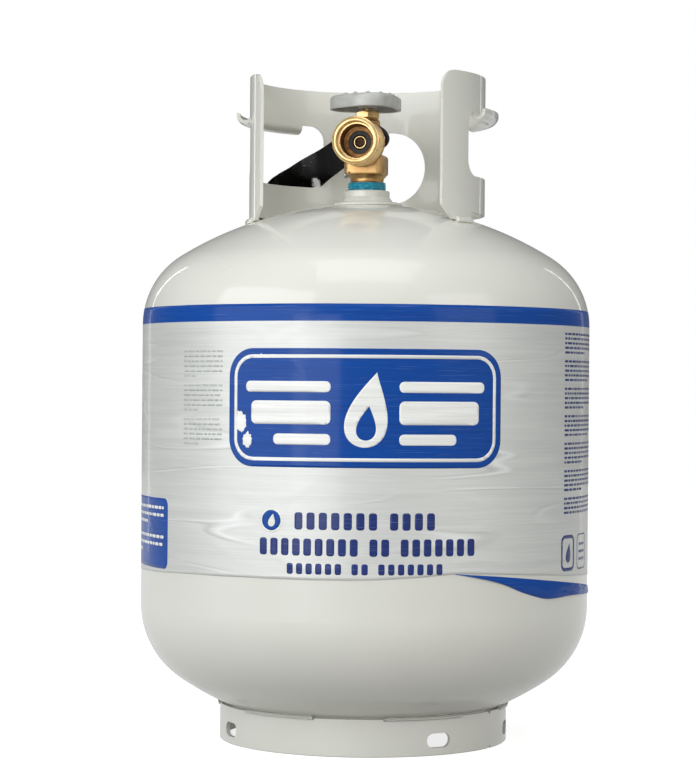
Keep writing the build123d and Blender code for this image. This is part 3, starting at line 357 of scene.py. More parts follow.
def black_plastic():
    """Shiny black moulding with brown and grey flecks, a few pale scuffs and a pale spot painted as a
    highlight.
    """
    plastic = Finish("black_plastic", Coat_Weight=0.1, Coat_Roughness=0.12, Specular_IOR_Level=0.1)
    point = plastic.point()
    fleck = plastic.span(plastic.cells(point, 620.0), 0.1, 0.2, 1.0, 0.0)
    spread = plastic.span(plastic.noise(point, 150.0, 3.0), 0.48, 0.62, 0.0, 0.55)
    share = plastic.maths("MULTIPLY", fleck, spread)
    dust = plastic.noise(point, 300.0, 2.0)
    tone = plastic.ramp(dust, (0.4, srgb(120, 96, 62)), (0.6, srgb(150, 150, 146)))
    colour = plastic.blend(share, srgb(6, 6, 5), tone)
    scuff = plastic.noise(plastic.stretched(point, 60.0, 60.0, 700.0), 1.0, 5.0, 0.7)
    colour = plastic.blend(plastic.span(scuff, 0.68, 0.74, 0.0, 0.5), colour, srgb(190, 190, 186))
    # Painted highlight: a ragged pale patch where the strap glints near the collar's edge.
    measure = plastic.add("ShaderNodeVectorMath", point, PAINTED_GLINT_SPOT, operation="DISTANCE")
    rag = plastic.span(plastic.noise(point, 420.0, 4.0), 0, 1, -PAINTED_GLINT_RAG, PAINTED_GLINT_RAG)
    ragged = plastic.maths("ADD", measure.outputs["Value"], rag)
    painted_glint = plastic.span(ragged, PAINTED_GLINT_R, PAINTED_GLINT_END_R, 0.9, 0.0)
    colour = plastic.blend(painted_glint, colour, srgb(206, 208, 206))
    soft = plastic.bump(plastic.noise(point, 90.0, 3.0), 0.25 * MM, plastic.rounded_edges(0.25 * MM))
    return plastic.finish(colour, plastic.span(scuff, 0.4, 0.7, 0.2, 0.42), soft)


def nylon():
    """Natural nylon, milky and slightly translucent."""
    resin = Finish("nylon", Subsurface_Weight=0.15)
    point = resin.point()
    cloud = resin.noise(point, 130.0, 4.0)
    colour = resin.ramp(cloud, (0.3, srgb(222, 216, 200)), (0.7, srgb(236, 232, 220)))
    normal = resin.bump(resin.noise(point, 900.0, 3.0), 0.02 * MM, resin.rounded_edges(0.2 * MM))
    return resin.finish(colour, resin.span(cloud, 0.3, 0.7, 0.36, 0.5), normal)


def float_foam():
    """Closed-cell float foam with a skin of small pits."""
    foam = Finish("float_foam")
    point = foam.point()
    pits = foam.cells(point, 900.0)
    colour = foam.ramp(pits, (0.05, srgb(58, 56, 54)), (0.5, srgb(92, 90, 86)))
    return foam.finish(colour, 0.75, foam.bump(pits, 0.12 * MM))


def film_streaks(film, colours, worn=0.0):
    """A film's colour, with fine level brush lines and pale scratches along them where it is worn.
    Also the brush lines themselves, and the point around the tank that they are drawn from."""
    around = film.around()
    fine = film.noise(film.stretched(around, 16.0, 1500.0, 1.0), 1.0, 4.0, 0.7)
    broad = film.noise(film.stretched(around, 7.0, 190.0, 1.0), 1.0, 3.0)
    share = film.maths("ADD", film.maths("MULTIPLY", fine, 0.6), film.maths("MULTIPLY", broad, 0.4))
    colour = film.ramp(share, *colours)
    if worn:
        scratch = film.noise(film.stretched(around, 26.0, 2600.0, 1.0), 1.0, 2.0, 0.6)
        share_worn = film.span(scratch, 0.64, 0.7, 0.0, worn)
        colour = film.blend(share_worn, colour, srgb(235, 238, 240))
    return colour, share, around


# Where in the crease field the sharp creases run, and the lines beside them that are painted darker as
# shade.
CREASE_LEVEL = 0.5
PAINTED_SHADE_LEVEL = 0.53


def film_crease(film, around, level, width):
    """How near a point is to one of the film's long thin creases, from 0 to 1."""
    field = film.noise(film.stretched(around, 4.5, 48.0, 1.0), 1.0, 1.0, 0.4)
    off_line = film.maths("ABSOLUTE", film.maths("SUBTRACT", field, level))
    crease = film.span(off_line, 0.0, width, 1.0, 0.0)
    patches = film.noise(film.stretched(around, 12.0, 16.0, 3.0), 1.0, 1.0)
    return film.maths("MULTIPLY", crease, film.span(patches, 0.46, 0.64, 0.0, 1.0))


def film_crinkles(film, around):
    """Soft waves in a film, and the creases where it was drawn tight."""
    waves = film.noise(film.stretched(around, 22.0, 130.0, 1.0), 1.0, 4.0, 0.6)
    normal = film.bump(waves, 0.2 * MM)
    return film.bump(film_crease(film, around, CREASE_LEVEL, 0.035), 0.11 * MM, normal)


def label_film():
    """Silver film: fine level brush lines, satin, with soft crinkles, creases painted pale as stress
    whitening and a painted highlight, and painted shade beside them.
    """
    film = Finish("label_film", Coat_Weight=0.35, Coat_Roughness=0.14, Metallic=0.3)
    tones = [(0.32, srgb(194, 195, 192)), (0.5, srgb(206, 207, 203)), (0.68, srgb(216, 217, 213))]
    colour, share, around = film_streaks(film, tones)
    # Creases painted pale: partly stress whitening of the film, partly a painted highlight.
    whitening_and_highlight = film.maths("MULTIPLY", film_crease(film, around, CREASE_LEVEL, 0.02), 0.6)
    colour = film.blend(whitening_and_highlight, colour, srgb(234, 236, 234))
    # Painted shade: a darker line beside each crease.
    painted_crease_shade = film.maths("MULTIPLY", film_crease(film, around, PAINTED_SHADE_LEVEL, 0.014), 0.3)
    colour = film.blend(painted_crease_shade, colour, srgb(142, 144, 142))
    normal = film.bump(share, 0.006 * MM, film_crinkles(film, around))
    return film.finish(colour, film.span(share, 0.35, 0.65, 0.4, 0.5), normal)


def printed_film(name, colour, worn, roughness, gloss, shine=0.5):
    """Ink on the same film: the brush lines show through faintly."""
    ink = Finish(name, Coat_Weight=gloss, Coat_Roughness=0.1, Specular_IOR_Level=shine)
    darker = [channel * 0.86 for channel in colour[:3]] + [1.0]
    lighter = [min(channel * 1.12, 1.0) for channel in colour[:3]] + [1.0]
    mixed, share, around = film_streaks(ink, [(0.36, darker), (0.64, lighter)], worn)
    normal = film_crinkles(ink, around)
    return ink.finish(mixed, ink.span(share, 0.35, 0.65, roughness, roughness + 0.12), normal)


MATERIALS = {
    "tank_paint": tank_paint(),
    "brass": forged_brass(),
    "turned_brass": turned_brass(),
    "bore_brass": bore_brass(),
    "painted_shade_brass": painted_shade_brass(),
    "thread_compound": thread_compound(),
    "zinc_casting": cast_zinc(),
    "steel": bright_steel(),
    "black_rubber": black_rubber(),
    "black_plastic": black_plastic(),
    "nylon": nylon(),
    "float_foam": float_foam(),
    "label_film": label_film(),
    "label_blue": printed_film("label_blue", srgb(0, 68, 152), 0.07, 0.24, 0.26, 0.06),
    "print_navy": printed_film("print_navy", srgb(24, 46, 112), 0.16, 0.24, 0.25, 0.15),
    "print_white": printed_film("print_white", srgb(236, 236, 232), 0.0, 0.35, 0.2),
    "print_grey": printed_film("print_grey", srgb(178, 181, 178), 0.0, 0.4, 0.2),
}


def dress_nodes():
    """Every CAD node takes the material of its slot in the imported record."""
    for part in frame["record"]["subparts"]:
        node = NODES[part["node"]]
        node.data.materials.clear()
        node.data.materials.append(MATERIALS[part["material_slot"]])


# --- Meshes ---

def new_piece(name, mesh, material, body, slot, *replaced):
    """A shown piece that rides on a body and may stand for CAD nodes."""
    piece = bpy.data.objects.new(name, mesh)
    bpy.context.scene.collection.objects.link(piece)
    if material is not None:
        mesh.materials.append(MATERIALS[material])
    for polygon in mesh.polygons:
        polygon.use_smooth = True
    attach(piece, body)
    if replaced:
        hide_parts(*replaced)
    return piece


def mesh_of(grid, name):
    """A mesh with what a bmesh holds. The bmesh is freed."""
    mesh = bpy.data.meshes.new(name)
    grid.to_mesh(mesh)
    grid.free()
    return mesh


def apply_modifiers(piece):
    """Turns a piece's modifiers into plain mesh."""
    graph = bpy.context.evaluated_depsgraph_get()
    mesh = bpy.data.meshes.new_from_object(piece.evaluated_get(graph))
    piece.modifiers.clear()
    piece.data = mesh


def welded_copy(node):
    """A CAD node's mesh with the vertices that its faces share joined again."""
    mesh = NODES[node].data.copy()
    for attribute in [a for a in mesh.attributes if a.name == "custom_normal"]:
        mesh.attributes.remove(attribute)
    mesh.materials.clear()
    grid = bmesh.new()
    grid.from_mesh(mesh)
    bmesh.ops.remove_doubles(grid, verts=grid.verts, dist=0.002 * MM)
    grid.to_mesh(mesh)
    grid.free()
    return mesh


def remesh_smooth(piece, voxel, passes):
    """Makes one even skin of a piece's solids and wears its edges round."""
    remesh = piece.modifiers.new("remesh", "REMESH")
    remesh.mode = "VOXEL"
    remesh.voxel_size = voxel
    remesh.use_smooth_shade = True
    rounding = piece.modifiers.new("rounding", "SMOOTH")
    rounding.factor = 0.5
    rounding.iterations = passes
    apply_modifiers(piece)


def softened(node, material, body, slot, voxel, passes, push=None):
    """A casting, forging or bead made from a CAD node: remeshed, its edges worn round, and pushed
    along its normals by push(point), if given."""
    piece = new_piece(node + "_look", welded_copy(node), material, body, slot, node)
    remesh_smooth(piece, voxel, passes)
    if push is not None:
        moves = [vertex.normal * push(vertex.co) for vertex in piece.data.vertices]
        for vertex, move in zip(piece.data.vertices, moves):
            vertex.co += move
    return piece


# --- Label ---

# Lower edge of the film: angle around the tank in degrees, and millimetres below its CAD place.
EDGE_DROP = [
    (-180, 1.0), (-74, 2.2), (-30, -0.4), (12, -0.8), (24, -2.4), (36, -4.4), (60, -1.4),
    (95, 3.8), (140, 1.2), (180, 1.0),
]
# Ridges in the film: middle s and z, tilt in degrees, half length, half width, height. Millimetres.
RIDGES = [
    (-72, 279, -24, 22, 1.6, 0.14), (-50, 276, 22, 24, 1.5, 0.13), (-64, 268, 40, 12, 1.4, 0.12),
    (-46, 259, -38, 16, 1.8, 0.12), (-30, 281, -4, 34, 1.6, 0.08), (40, 277, 3, 48, 1.3, 0.07),
    (86, 262, -12, 26, 1.5, 0.09), (-88, 236, 12, 20, 1.6, 0.06), (-60, 170, 6, 38, 2.0, 0.07),
    (72, 172, -16, 26, 1.6, 0.12), (104, 158, -8, 30, 1.7, 0.09), (30, 176, 2, 60, 1.4, 0.06),
    (-28, 127, 3, 40, 1.8, 0.13), (34, 129, -2, 46, 1.6, 0.12), (84, 133, -10, 32, 1.6, 0.11),
    (118, 148, 6, 22, 1.5, 0.1), (-110, 142, -8, 26, 1.7, 0.09), (-118, 206, 78, 30, 1.6, 0.07),
    (134, 232, 84, 26, 1.5, 0.08), (150, 190, -70, 30, 1.8, 0.08), (-164, 250, 12, 30, 1.7, 0.09),
    (-200, 160, -14, 34, 1.8, 0.1), (-260, 230, 8, 44, 1.8, 0.09), (230, 250, -10, 40, 1.7, 0.09),
    (300, 180, 12, 50, 1.9, 0.1), (-330, 270, 5, 60, 1.6, 0.08), (380, 140, -6, 50, 1.8, 0.1),
]
# What every ridge is multiplied by in height and half width, and how it bends along its length.
RIDGE_GAIN = 1.4
RIDGE_SPREAD = 1.3
RIDGE_BEND = 0.012
# Half lengths from a ridge's middle beyond which it isn't felt.
RIDGE_REACH = 1.6
SEAM_S = math.pi * FILM_R
SEAM_WIDTH = 14.0 * MM


def film_edge(s):
    """Height of the film's lower edge."""
    degrees = math.degrees(FRONT_ANGLE + s / FILM_R)
    degrees = (degrees + 180) % 360 - 180
    ripple = 0.25 * MM * noise.noise(Vector((s * 45, 7.1, 0.3)))
    return LABEL_LOW.z - curve_value(EDGE_DROP, degrees) * MM + ripple


def film_lift(s, z):
    """How far the film stands off its resting radius: crinkles, a lifted lower edge and the seam."""
    lift = 0.03 * MM * (noise.noise(Vector((s * 28, z * 120, 1.7))) + 1)
    for middle_s, middle_z, tilt, half_length, half_width, height in RIDGES:
        across_s = s / MM - middle_s
        across_z = z / MM - middle_z
        reach = half_length * RIDGE_REACH
        if abs(across_s) < reach and abs(across_z) < reach:
            turn = math.radians(tilt)
            bend = RIDGE_BEND if tilt < 0 else -RIDGE_BEND
            along = across_s * math.cos(turn) + across_z * math.sin(turn)
            aside = -across_s * math.sin(turn) + across_z * math.cos(turn) + bend * along * along
            fall = (along / half_length) ** 4 + (aside / (RIDGE_SPREAD * half_width)) ** 2
            lift += RIDGE_GAIN * height * MM * math.exp(-fall)
    lift += 0.1 * MM * math.exp(-((z - film_edge(s)) / (1.2 * MM)) ** 2)
    if abs(s) > SEAM_S - SEAM_WIDTH:
        lift += 0.07 * MM
    return min(lift, FILM_R - FILM_REST_R)


def knuckle_drop(z):
    """How much nearer to the axis the wall is at z than on the tank's straight side."""
    rise = max(z - TANGENT_Z, 0.0)
    return KNUCKLE_R - math.sqrt(KNUCKLE_R ** 2 - rise ** 2)


def film_point(s, z, above=0.0):
    radius = FILM_REST_R + film_lift(s, z) + above - knuckle_drop(z)
    return on_wall(FRONT_ANGLE + s / FILM_R, radius, z)


def make_film():
    """The silver film all around the tank with its blue top band, and an overlap at the back."""
    grid = bmesh.new()
    columns = 2 * round(SEAM_S / FILM_CELL)
    low_rows = math.ceil((BAND_BOTTOM - LABEL_LOW.z) / FILM_CELL)
    band = FILM_TOP - BAND_BOTTOM
    heights = [BAND_BOTTOM - FILM_CELL * (low_rows - row) for row in range(low_rows)]
    heights += [BAND_BOTTOM + band * row / BAND_ROWS for row in range(BAND_ROWS + 1)]
    rows = []
    for level in heights:
        row = []
        for column in range(columns):
            s = (column / columns - 0.5) * 2 * SEAM_S
            fade = 1 - smooth_step((level - heights[0]) / EDGE_BLEND)
            z = level + (film_edge(s) - heights[0]) * fade
            top_share = smooth_step((z - BAND_BOTTOM) / (5 * MM))
            z += 0.12 * MM * noise.noise(Vector((s * 30, 3.3, 0))) * top_share
            row.append(grid.verts.new(film_point(s, min(z, FILM_TOP))))
        rows.append(row)
    for level, (lower, upper) in enumerate(zip(rows, rows[1:])):
        for column in range(columns):
            after = (column + 1) % columns
            face = grid.faces.new((lower[column], lower[after], upper[after], upper[column]))
            face.material_index = 1 if level >= low_rows else 0
    mesh = mesh_of(grid, "label_film_wrap")
    mesh.materials.append(MATERIALS["label_film"])
    mesh.materials.append(MATERIALS["label_blue"])
    film = new_piece("label_film_wrap", mesh, None, "tank", "label_film", "label_wrap")
    thicken(film, FILM_THICKNESS)


def thicken(piece, thickness):
    """Gives a sheet its thickness, inwards from its outer face."""
    solid = piece.modifiers.new("thickness", "SOLIDIFY")
    solid.thickness = thickness
    solid.offset = -1.0
    apply_modifiers(piece)


def rounded_box(middle_s, middle_z, width, height, corner, steps=5):
    """Outline of a box with round corners on the label, in millimetres."""
    corner = min(corner, width / 2 - 0.01, height / 2 - 0.01)
    outline = []
    for quarter, (side_s, side_z) in enumerate(((1, -1), (1, 1), (-1, 1), (-1, -1))):
        centre_s = middle_s + side_s * (width / 2 - corner)
        centre_z = middle_z + side_z * (height / 2 - corner)
        for step in range(steps + 1):
            angle = math.radians(-90 + 90 * quarter + 90 * step / steps)
            outline.append((centre_s + corner * math.cos(angle), centre_z + corner * math.sin(angle)))
    return outline


def disc(middle_s, middle_z, radius, steps=36):
    """Outline of a disc on the label, in millimetres."""
    angles = [2 * math.pi * step / steps for step in range(steps)]
    return [(middle_s + radius * math.cos(a), middle_z + radius * math.sin(a)) for a in angles]


# A flame's greatest half width, as a share of its height, and how fast it narrows upwards.
FLAME_HALF = 0.34 * 1.15
FLAME_TAPER = 0.62


def flame(middle_s, base_z, height, sway=0.16, steps=28):
    """A plain drop-shaped flame: round below, drawn to a leaning tip."""
    outline = []
    for step in range(2 * steps):
        share = step / (2 * steps)
        angle = 2 * math.pi * share
        rise = 0.5 - 0.5 * math.cos(angle)
        half = FLAME_HALF * height * math.sin(angle) * (1 - rise) ** FLAME_TAPER
        lean = sway * height * rise ** 2.2
        outline.append((middle_s + half + lean, base_z + height * rise))
    return outline


# The record's slot for each ink.
INK_SLOTS = {
    "label_blue": "label_blue", "print_navy": "label_blue",
    "print_white": "label_film", "print_grey": "label_film",
}


def print_shapes(name, shapes, ink, layer):
    """Thin ink shapes on the film. Each shape is an outline, then the outlines of its holes."""
    sheet = bmesh.new()
    for outlines in shapes:
        edges = []
        for outline in outlines:
            corners = [sheet.verts.new((s * MM, z * MM, 0)) for s, z in outline]
            for index, corner in enumerate(corners):
                edges.append(sheet.edges.new((corner, corners[(index + 1) % len(corners)])))
        bmesh.ops.triangle_fill(sheet, use_beauty=True, use_dissolve=False, edges=edges)
    for axis, phase in ((Vector((1, 0, 0)), 0.0), (Vector((0, 1, 0)), BAND_BOTTOM)):
        reaches = [vertex.co.dot(axis) for vertex in sheet.verts]
        first = math.floor((min(reaches) - phase) / FILM_CELL)
        last = math.ceil((max(reaches) - phase) / FILM_CELL)
        for line in range(first, last + 1):
            parts = [*sheet.verts, *sheet.edges, *sheet.faces]
            place = axis * (phase + line * FILM_CELL)
            bmesh.ops.bisect_plane(sheet, geom=parts, dist=1e-7, plane_co=place, plane_no=axis)
    for vertex in sheet.verts:
        s, z = vertex.co.x, vertex.co.y
        vertex.co = film_point(s, z, layer * PRINT_STEP)
    bmesh.ops.recalc_face_normals(sheet, faces=sheet.faces)
    outward = [face.normal.dot(Vector((*face.calc_center_median().xy, 0))) for face in sheet.faces]
    if sum(outward) < 0:
        bmesh.ops.reverse_faces(sheet, faces=sheet.faces)
    piece = new_piece(name, mesh_of(sheet, name), ink, "tank", INK_SLOTS[ink])
    thicken(piece, PRINT_STEP / 2)


def word_bars(left, z, height, words, gap, bar, slit):
    """Rows of upright blocks in place of words. Each word is a number of blocks."""
    bars = []
    for blocks in words:
        for _ in range(blocks):
            bars.append([rounded_box(left + bar / 2, z, bar, height, bar * 0.32, 4)])
            left += bar + slit
        left += gap
    return bars


NOTE_GAP = 0.9
NOTE_SHORTEST = 1.5


def note_lines(left, right, top, bottom, pitch, height, seed, break_every):
    """Rows of short bars in place of a block of small print."""
    draws = random.Random(seed)
    lines = []
    z = top
    count = 0
    while z > bottom:
        count += 1
        end = right if count % break_every else left + (right - left) * draws.uniform(0.35, 0.7)
        s = left
        while s < end - NOTE_SHORTEST:
            width = min(draws.uniform(2.5, 7.5), end - s)
            lines.append([rounded_box(s + width / 2, z, width, height, height * 0.4, 2)])
            s += width + NOTE_GAP
        z -= pitch if count % break_every else pitch * 1.9
    return lines


def scuff(middle_s, middle_z, radius, seed, steps=40):
    """A ragged rubbed patch."""
    outline = []
    for step in range(steps):
        angle = 2 * math.pi * step / steps
        across, up = math.cos(angle), math.sin(angle)
        reach = radius * (1 + 0.34 * noise.noise(Vector((3 * across, 3 * up, seed))))
        outline.append((middle_s + 0.8 * reach * across, middle_z + 1.25 * reach * up))
    return outline


BADGE_Z = 230.0
BADGE_WIDTH = 186.0
BADGE_HEIGHT = 76.0


def make_badge():
    """A plain fuel sign: a round-cornered blue board, a white line, a flame and bars beside it."""
    board = rounded_box(0, BADGE_Z, BADGE_WIDTH, BADGE_HEIGHT, 18, 10)
    print_shapes("print_badge_board", [[board]], "label_blue", 1)
    line_out = rounded_box(0, BADGE_Z, BADGE_WIDTH - 8, BADGE_HEIGHT - 8, 14, 10)
    line_in = rounded_box(0, BADGE_Z, BADGE_WIDTH - 12.5, BADGE_HEIGHT - 12.5, 12, 10)
    shapes = [[line_out, line_in]]
    shapes.append([flame(0, BADGE_Z - 25, 48), flame(0.6, BADGE_Z - 20.5, 22, 0.1)])
    for side in (-1, 1):
        shapes.append([rounded_box(side * 51, BADGE_Z + 13.5, 58, 7, 3)])
        shapes.append([rounded_box(side * 49, BADGE_Z - 3, 54, 15, 3.5)])
        shapes.append([rounded_box(side * 41, BADGE_Z - 20, 38, 7, 3)])
    print_shapes("print_badge_marks", shapes, "print_white", 2)
    patches = [[scuff(-84, BADGE_Z - 9, 5.2, 1.0)], [scuff(-79, BADGE_Z - 21, 4.0, 5.0)]]
    print_shapes("print_badge_scuff", patches, "print_white", 3)


def make_print():
    """Everything else that is printed on the film: bars in place of words, panels and symbols."""
    lines = word_bars(-45, 158, 11.0, (7, 4), 5.5, 5.3, 2.7)
    lines += word_bars(-69, 141.4, 11.0, (9, 2, 7), 5.0, 5.1, 2.4)
    lines += word_bars(-50, 127.6, 7.0, (6, 2, 7), 4.4, 4.1, 2.2)
    print_shapes("print_word_bars", lines, "print_navy", 1)
    ring = [[disc(-61, 158, 7.6), disc(-61, 158, 6.5)]]
    print_shapes("print_disc_ring", ring, "print_white", 1)
    sign = [[disc(-61, 158, 6.5), flame(-61, 154.0, 8.4)]]
    print_shapes("print_disc", sign, "label_blue", 1)
    panel = rounded_box(-203, 145, 96, 47, 5)
    print_shapes("print_panel", [[panel]], "label_blue", 1)
    print_shapes("print_panel_notes", note_lines(-244, -161, 162, 126, 5.0, 2.1, 3, 3), "print_white", 2)
    print_shapes("print_faint_notes", note_lines(-136, -99, 266, 204, 3.2, 1.3, 8, 6), "print_grey", 1)
    print_shapes("print_side_notes", note_lines(159, 240, 280, 160, 3.1, 1.6, 21, 5), "print_navy", 1)
    marks = [[rounded_box(166, 134, 21, 24, 5), rounded_box(166, 134, 16.5, 19.5, 3)]]
    marks += [[flame(166, 127.5, 13)]]
    marks += [[rounded_box(193, 134, 22, 24, 4), rounded_box(193, 134, 20, 22, 3.2)]]
    marks += [[rounded_box(193, z, 14, 1.8, 0.8)] for z in (139, 134, 129)]
    print_shapes("print_side_marks", marks, "print_navy", 1)
    print_shapes("print_back_notes", note_lines(330, 450, 270, 150, 4.2, 1.8, 40, 6), "print_navy", 1)
    notes = note_lines(-450, -330, 270, 190, 4.2, 1.8, 41, 5)
    print_shapes("print_back_notes_left", notes, "print_navy", 1)


# The torn strip's upper and lower edges: angle around the tank in degrees, and millimetres above
# the film's CAD place. Its crease: the angle, and the share of the way from upper to lower edge.
FLAP_UPPER = [(34.6, 4.5), (48, 1.6), (63.6, -2.6), (80, -7.2), (95, -11.4), (104, -13.2)]
FLAP_LOWER = [
    (34.6, 4.2), (41, 1.3), (47.7, -3.0), (54.5, -9.4), (61.5, -14.0), (65, -14.8), (75, -14.4),
    (88, -15.8), (95, -16.4), (104, -14.6),
]
FLAP_CREASE = [(45, 1.0), (48, 0.9), (56, 0.52), (65, 0.86), (70, 1.2)]
FLAP_COLUMNS = 110
FLAP_ROWS = 16
# How far the strip stands off at its crease, how fast it falls back below, and its waves, all as
# shares of the room between the film and the CAD strip's outer face.
FLAP_STAND = 0.8
FLAP_FALL = 1.6
FLAP_WAVE = 0.16
FLAP_REST_GAP = 0.16 * MM


def make_flap():
    """The blue strip torn off the film's lower edge, hanging a little away from the wall."""
    grid = bmesh.new()
    first, last = FLAP_UPPER[0][0], FLAP_UPPER[-1][0]
    reach = FLAP_OUTER_R - FILM_R
    lines = []
    for column in range(FLAP_COLUMNS + 1):
        degrees = first + (last - first) * column / FLAP_COLUMNS
        angle = math.radians(degrees)
        crease = curve_value(FLAP_CREASE, degrees)
        upper = curve_value(FLAP_UPPER, degrees) * MM
        lower = curve_value(FLAP_LOWER, degrees) * MM
        loose_end = 0.35 + 0.65 * smooth_step((last - degrees) / 10)
        fade = smooth_step((degrees - first) / 6) * loose_end
        line = []
        for row in range(FLAP_ROWS + 1):
            share = row / FLAP_ROWS
            z = LABEL_LOW.z + upper + (lower - upper) * share
            if share > crease:
                away = reach * FLAP_STAND * (1 - FLAP_FALL * (share - crease))
            else:
                away = reach * FLAP_STAND * math.sin(math.pi * min(share / crease, 1) * 0.5)
            away += FLAP_WAVE * reach * noise.noise(Vector((degrees * 0.28, share * 2.5, 4.0)))
            line.append(grid.verts.new(on_wall(angle, TANK_R + FLAP_REST_GAP + max(away, 0) * fade, z)))
        lines.append(line)
    for left, right in zip(lines, lines[1:]):
        for row in range(FLAP_ROWS):
            grid.faces.new((left[row + 1], right[row + 1], right[row], left[row]))
    mesh = mesh_of(grid, "label_torn_strip")
    strip = new_piece("label_torn_strip", mesh, "label_blue", "tank", "label_blue", "label_flap")
    thicken(strip, FILM_THICKNESS)


# --- Metal and plastic pieces that stand for CAD nodes ---

# The outlet: its axis, how far back it is turned on a lathe, and where its bore begins, which is painted
# darker and browner as shade.
OUTLET_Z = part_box("outlet_poppet")[0].lerp(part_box("outlet_poppet")[1], 0.5).z
TURNED_LENGTH = 17.0 * MM
RIM_DEPTH = 3.6 * MM
BORE_R = 11.8 * MM
POPPET_RIM_R = 3.7 * MM
# The valve's tapered thread has 14 turns to the inch.
THREAD_PITCH = 1.814 * MM
FOOT_BEAD_SINK = 1.6 * MM


def bead_ripple(point):
    """Overlapping weld ripples that run around the tank's axis."""
    angle = math.atan2(point.x, -point.y)
    radius = math.hypot(point.x, point.y)
    drift = noise.noise(point * 160) * 1.4
    ripple = abs(math.sin(angle * radius / (2.6 * MM) + drift))
    return 0.2 * MM * ripple + 0.12 * MM * noise.noise(point * 420)


def casting_wobble(point):
    """The slight unevenness of cast and forged faces."""
    return 0.05 * MM * noise.noise(point * 180)


def compound_smear(point):
    """Thread ridges that show through the compound, smeared unevenly."""
    angle = math.atan2(point.x, -point.y)
    ridge = math.sin(2 * math.pi * (point.z / THREAD_PITCH) - angle)
    smear = 0.12 * noise.noise(point * 260) + 0.08 * noise.noise(point * 900)
    return (0.36 * ridge - 0.16 + smear) * MM


def foot_bead_ripple(point):
    """The foot ring's beads lie low in the corner between the ring and the vessel."""
    return bead_ripple(point) - FOOT_BEAD_SINK


def make_metal_pieces():
    """Softer copies of the forging, the casting, the beads and the smeared compound."""
    body = softened("valve_body", "brass", "tank", "brass", 0.4 * MM, 3, casting_wobble)
    body.data.materials.append(MATERIALS["turned_brass"])
    body.data.materials.append(MATERIALS["bore_brass"])
    body_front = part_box("valve_body")[0].y
    cut_y = body_front + TURNED_LENGTH
    for polygon in body.data.polygons:
        place = polygon.center
        from_axis = math.hypot(place.x, place.z - OUTLET_Z)
        # Faces deep in the bore take bore_brass, which paints shade in the recess.
        in_bore = from_axis < BORE_R and place.y > body_front + RIM_DEPTH
        polygon.material_index = 0 if place.y > cut_y else 2 if in_bore else 1
    softened("gland_nut", "turned_brass", "tank", "brass", 0.3 * MM, 2)
    poppet = softened("outlet_poppet", "turned_brass", "outlet_check", "brass", 0.15 * MM, 1)
    # The poppet's face inside its rim is painted dark brown as shade deep in the bore.
    poppet.data.materials.append(MATERIALS["painted_shade_brass"])
    for polygon in poppet.data.polygons:
        inside = math.hypot(polygon.center.x, polygon.center.z - OUTLET_Z) < POPPET_RIM_R
        polygon.material_index = 1 if inside else 0
    softened("handwheel", "zinc_casting", "handwheel", "zinc_casting", 0.5 * MM, 3, casting_wobble)
    compound = "thread_compound"
    softened("thread_sealant", compound, "tank", compound, 0.27 * MM, 1, compound_smear)
    beads = {"spud_weld": bead_ripple, "collar_welds": bead_ripple, "foot_ring_welds": foot_bead_ripple}
    for node, ripple in beads.items():
        softened(node, "tank_paint", "tank", "tank_paint", 0.6 * MM, 1, ripple)


def make_springs():
    """The outlet's and the relief valve's springs, which shorten as their poppets move."""
    joints = {row["name"]: row for row in frame["record"]["behaviour"]["joints"]}
    for name in ("outlet_check_push", "relief_lift"):
        joint = joints[name]
        spring = joint["deforming_nodes"][0]
        node = spring["node"]
        piece = new_piece(node + "_look", welded_copy(node), "steel", "tank", "steel", node)
        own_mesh(piece)


# The strap's middle line from the valve out through the hand-hole, and its sizes, in millimetres.
STRAP_ROUTE = [
    (-5.6, 11.0, 417.5), (-19.9, 28.2, 413.6), (-34.1, 45.5, 408.6), (-49.7, 59.8, 401.7),
    (-64.8, 67.2, 394.4), (-77.0, 66.9, 388.0), (-82.3, 60.9, 381.0),
]
STRAP_WIDTH = 24.6
STRAP_THICKNESS = 1.2
EYE_R = 12.5
EYE_HOLE_R = 4.2
# The strap ends this near to the middle of its eye.
STRAP_STOP = 6.5
STRAP_STATIONS = 90
EYE_TURNS = 72
UP = Vector((0, 0, 1))


def route_point(points, place):
    """A point of the smooth curve through points, and its direction. place counts the points."""
    index = min(int(place), len(points) - 2)
    t = place - index
    here, there = points[index], points[index + 1]
    before = points[index - 1] if index else 2 * here - there
    after = points[index + 2] if index + 2 < len(points) else 2 * there - here
    slope_a, slope_b = (there - before) / 2, (after - here) / 2
    point = (2 * t ** 3 - 3 * t ** 2 + 1) * here + (3 * t ** 2 - 2 * t ** 3) * there
    point += (t ** 3 - 2 * t ** 2 + t) * slope_a + (t ** 3 - t ** 2) * slope_b
    direction = (6 * t ** 2 - 6 * t) * (here - there)
    direction += (3 * t ** 2 - 4 * t + 1) * slope_a + (3 * t ** 2 - 2 * t) * slope_b
    return point, direction.normalized()


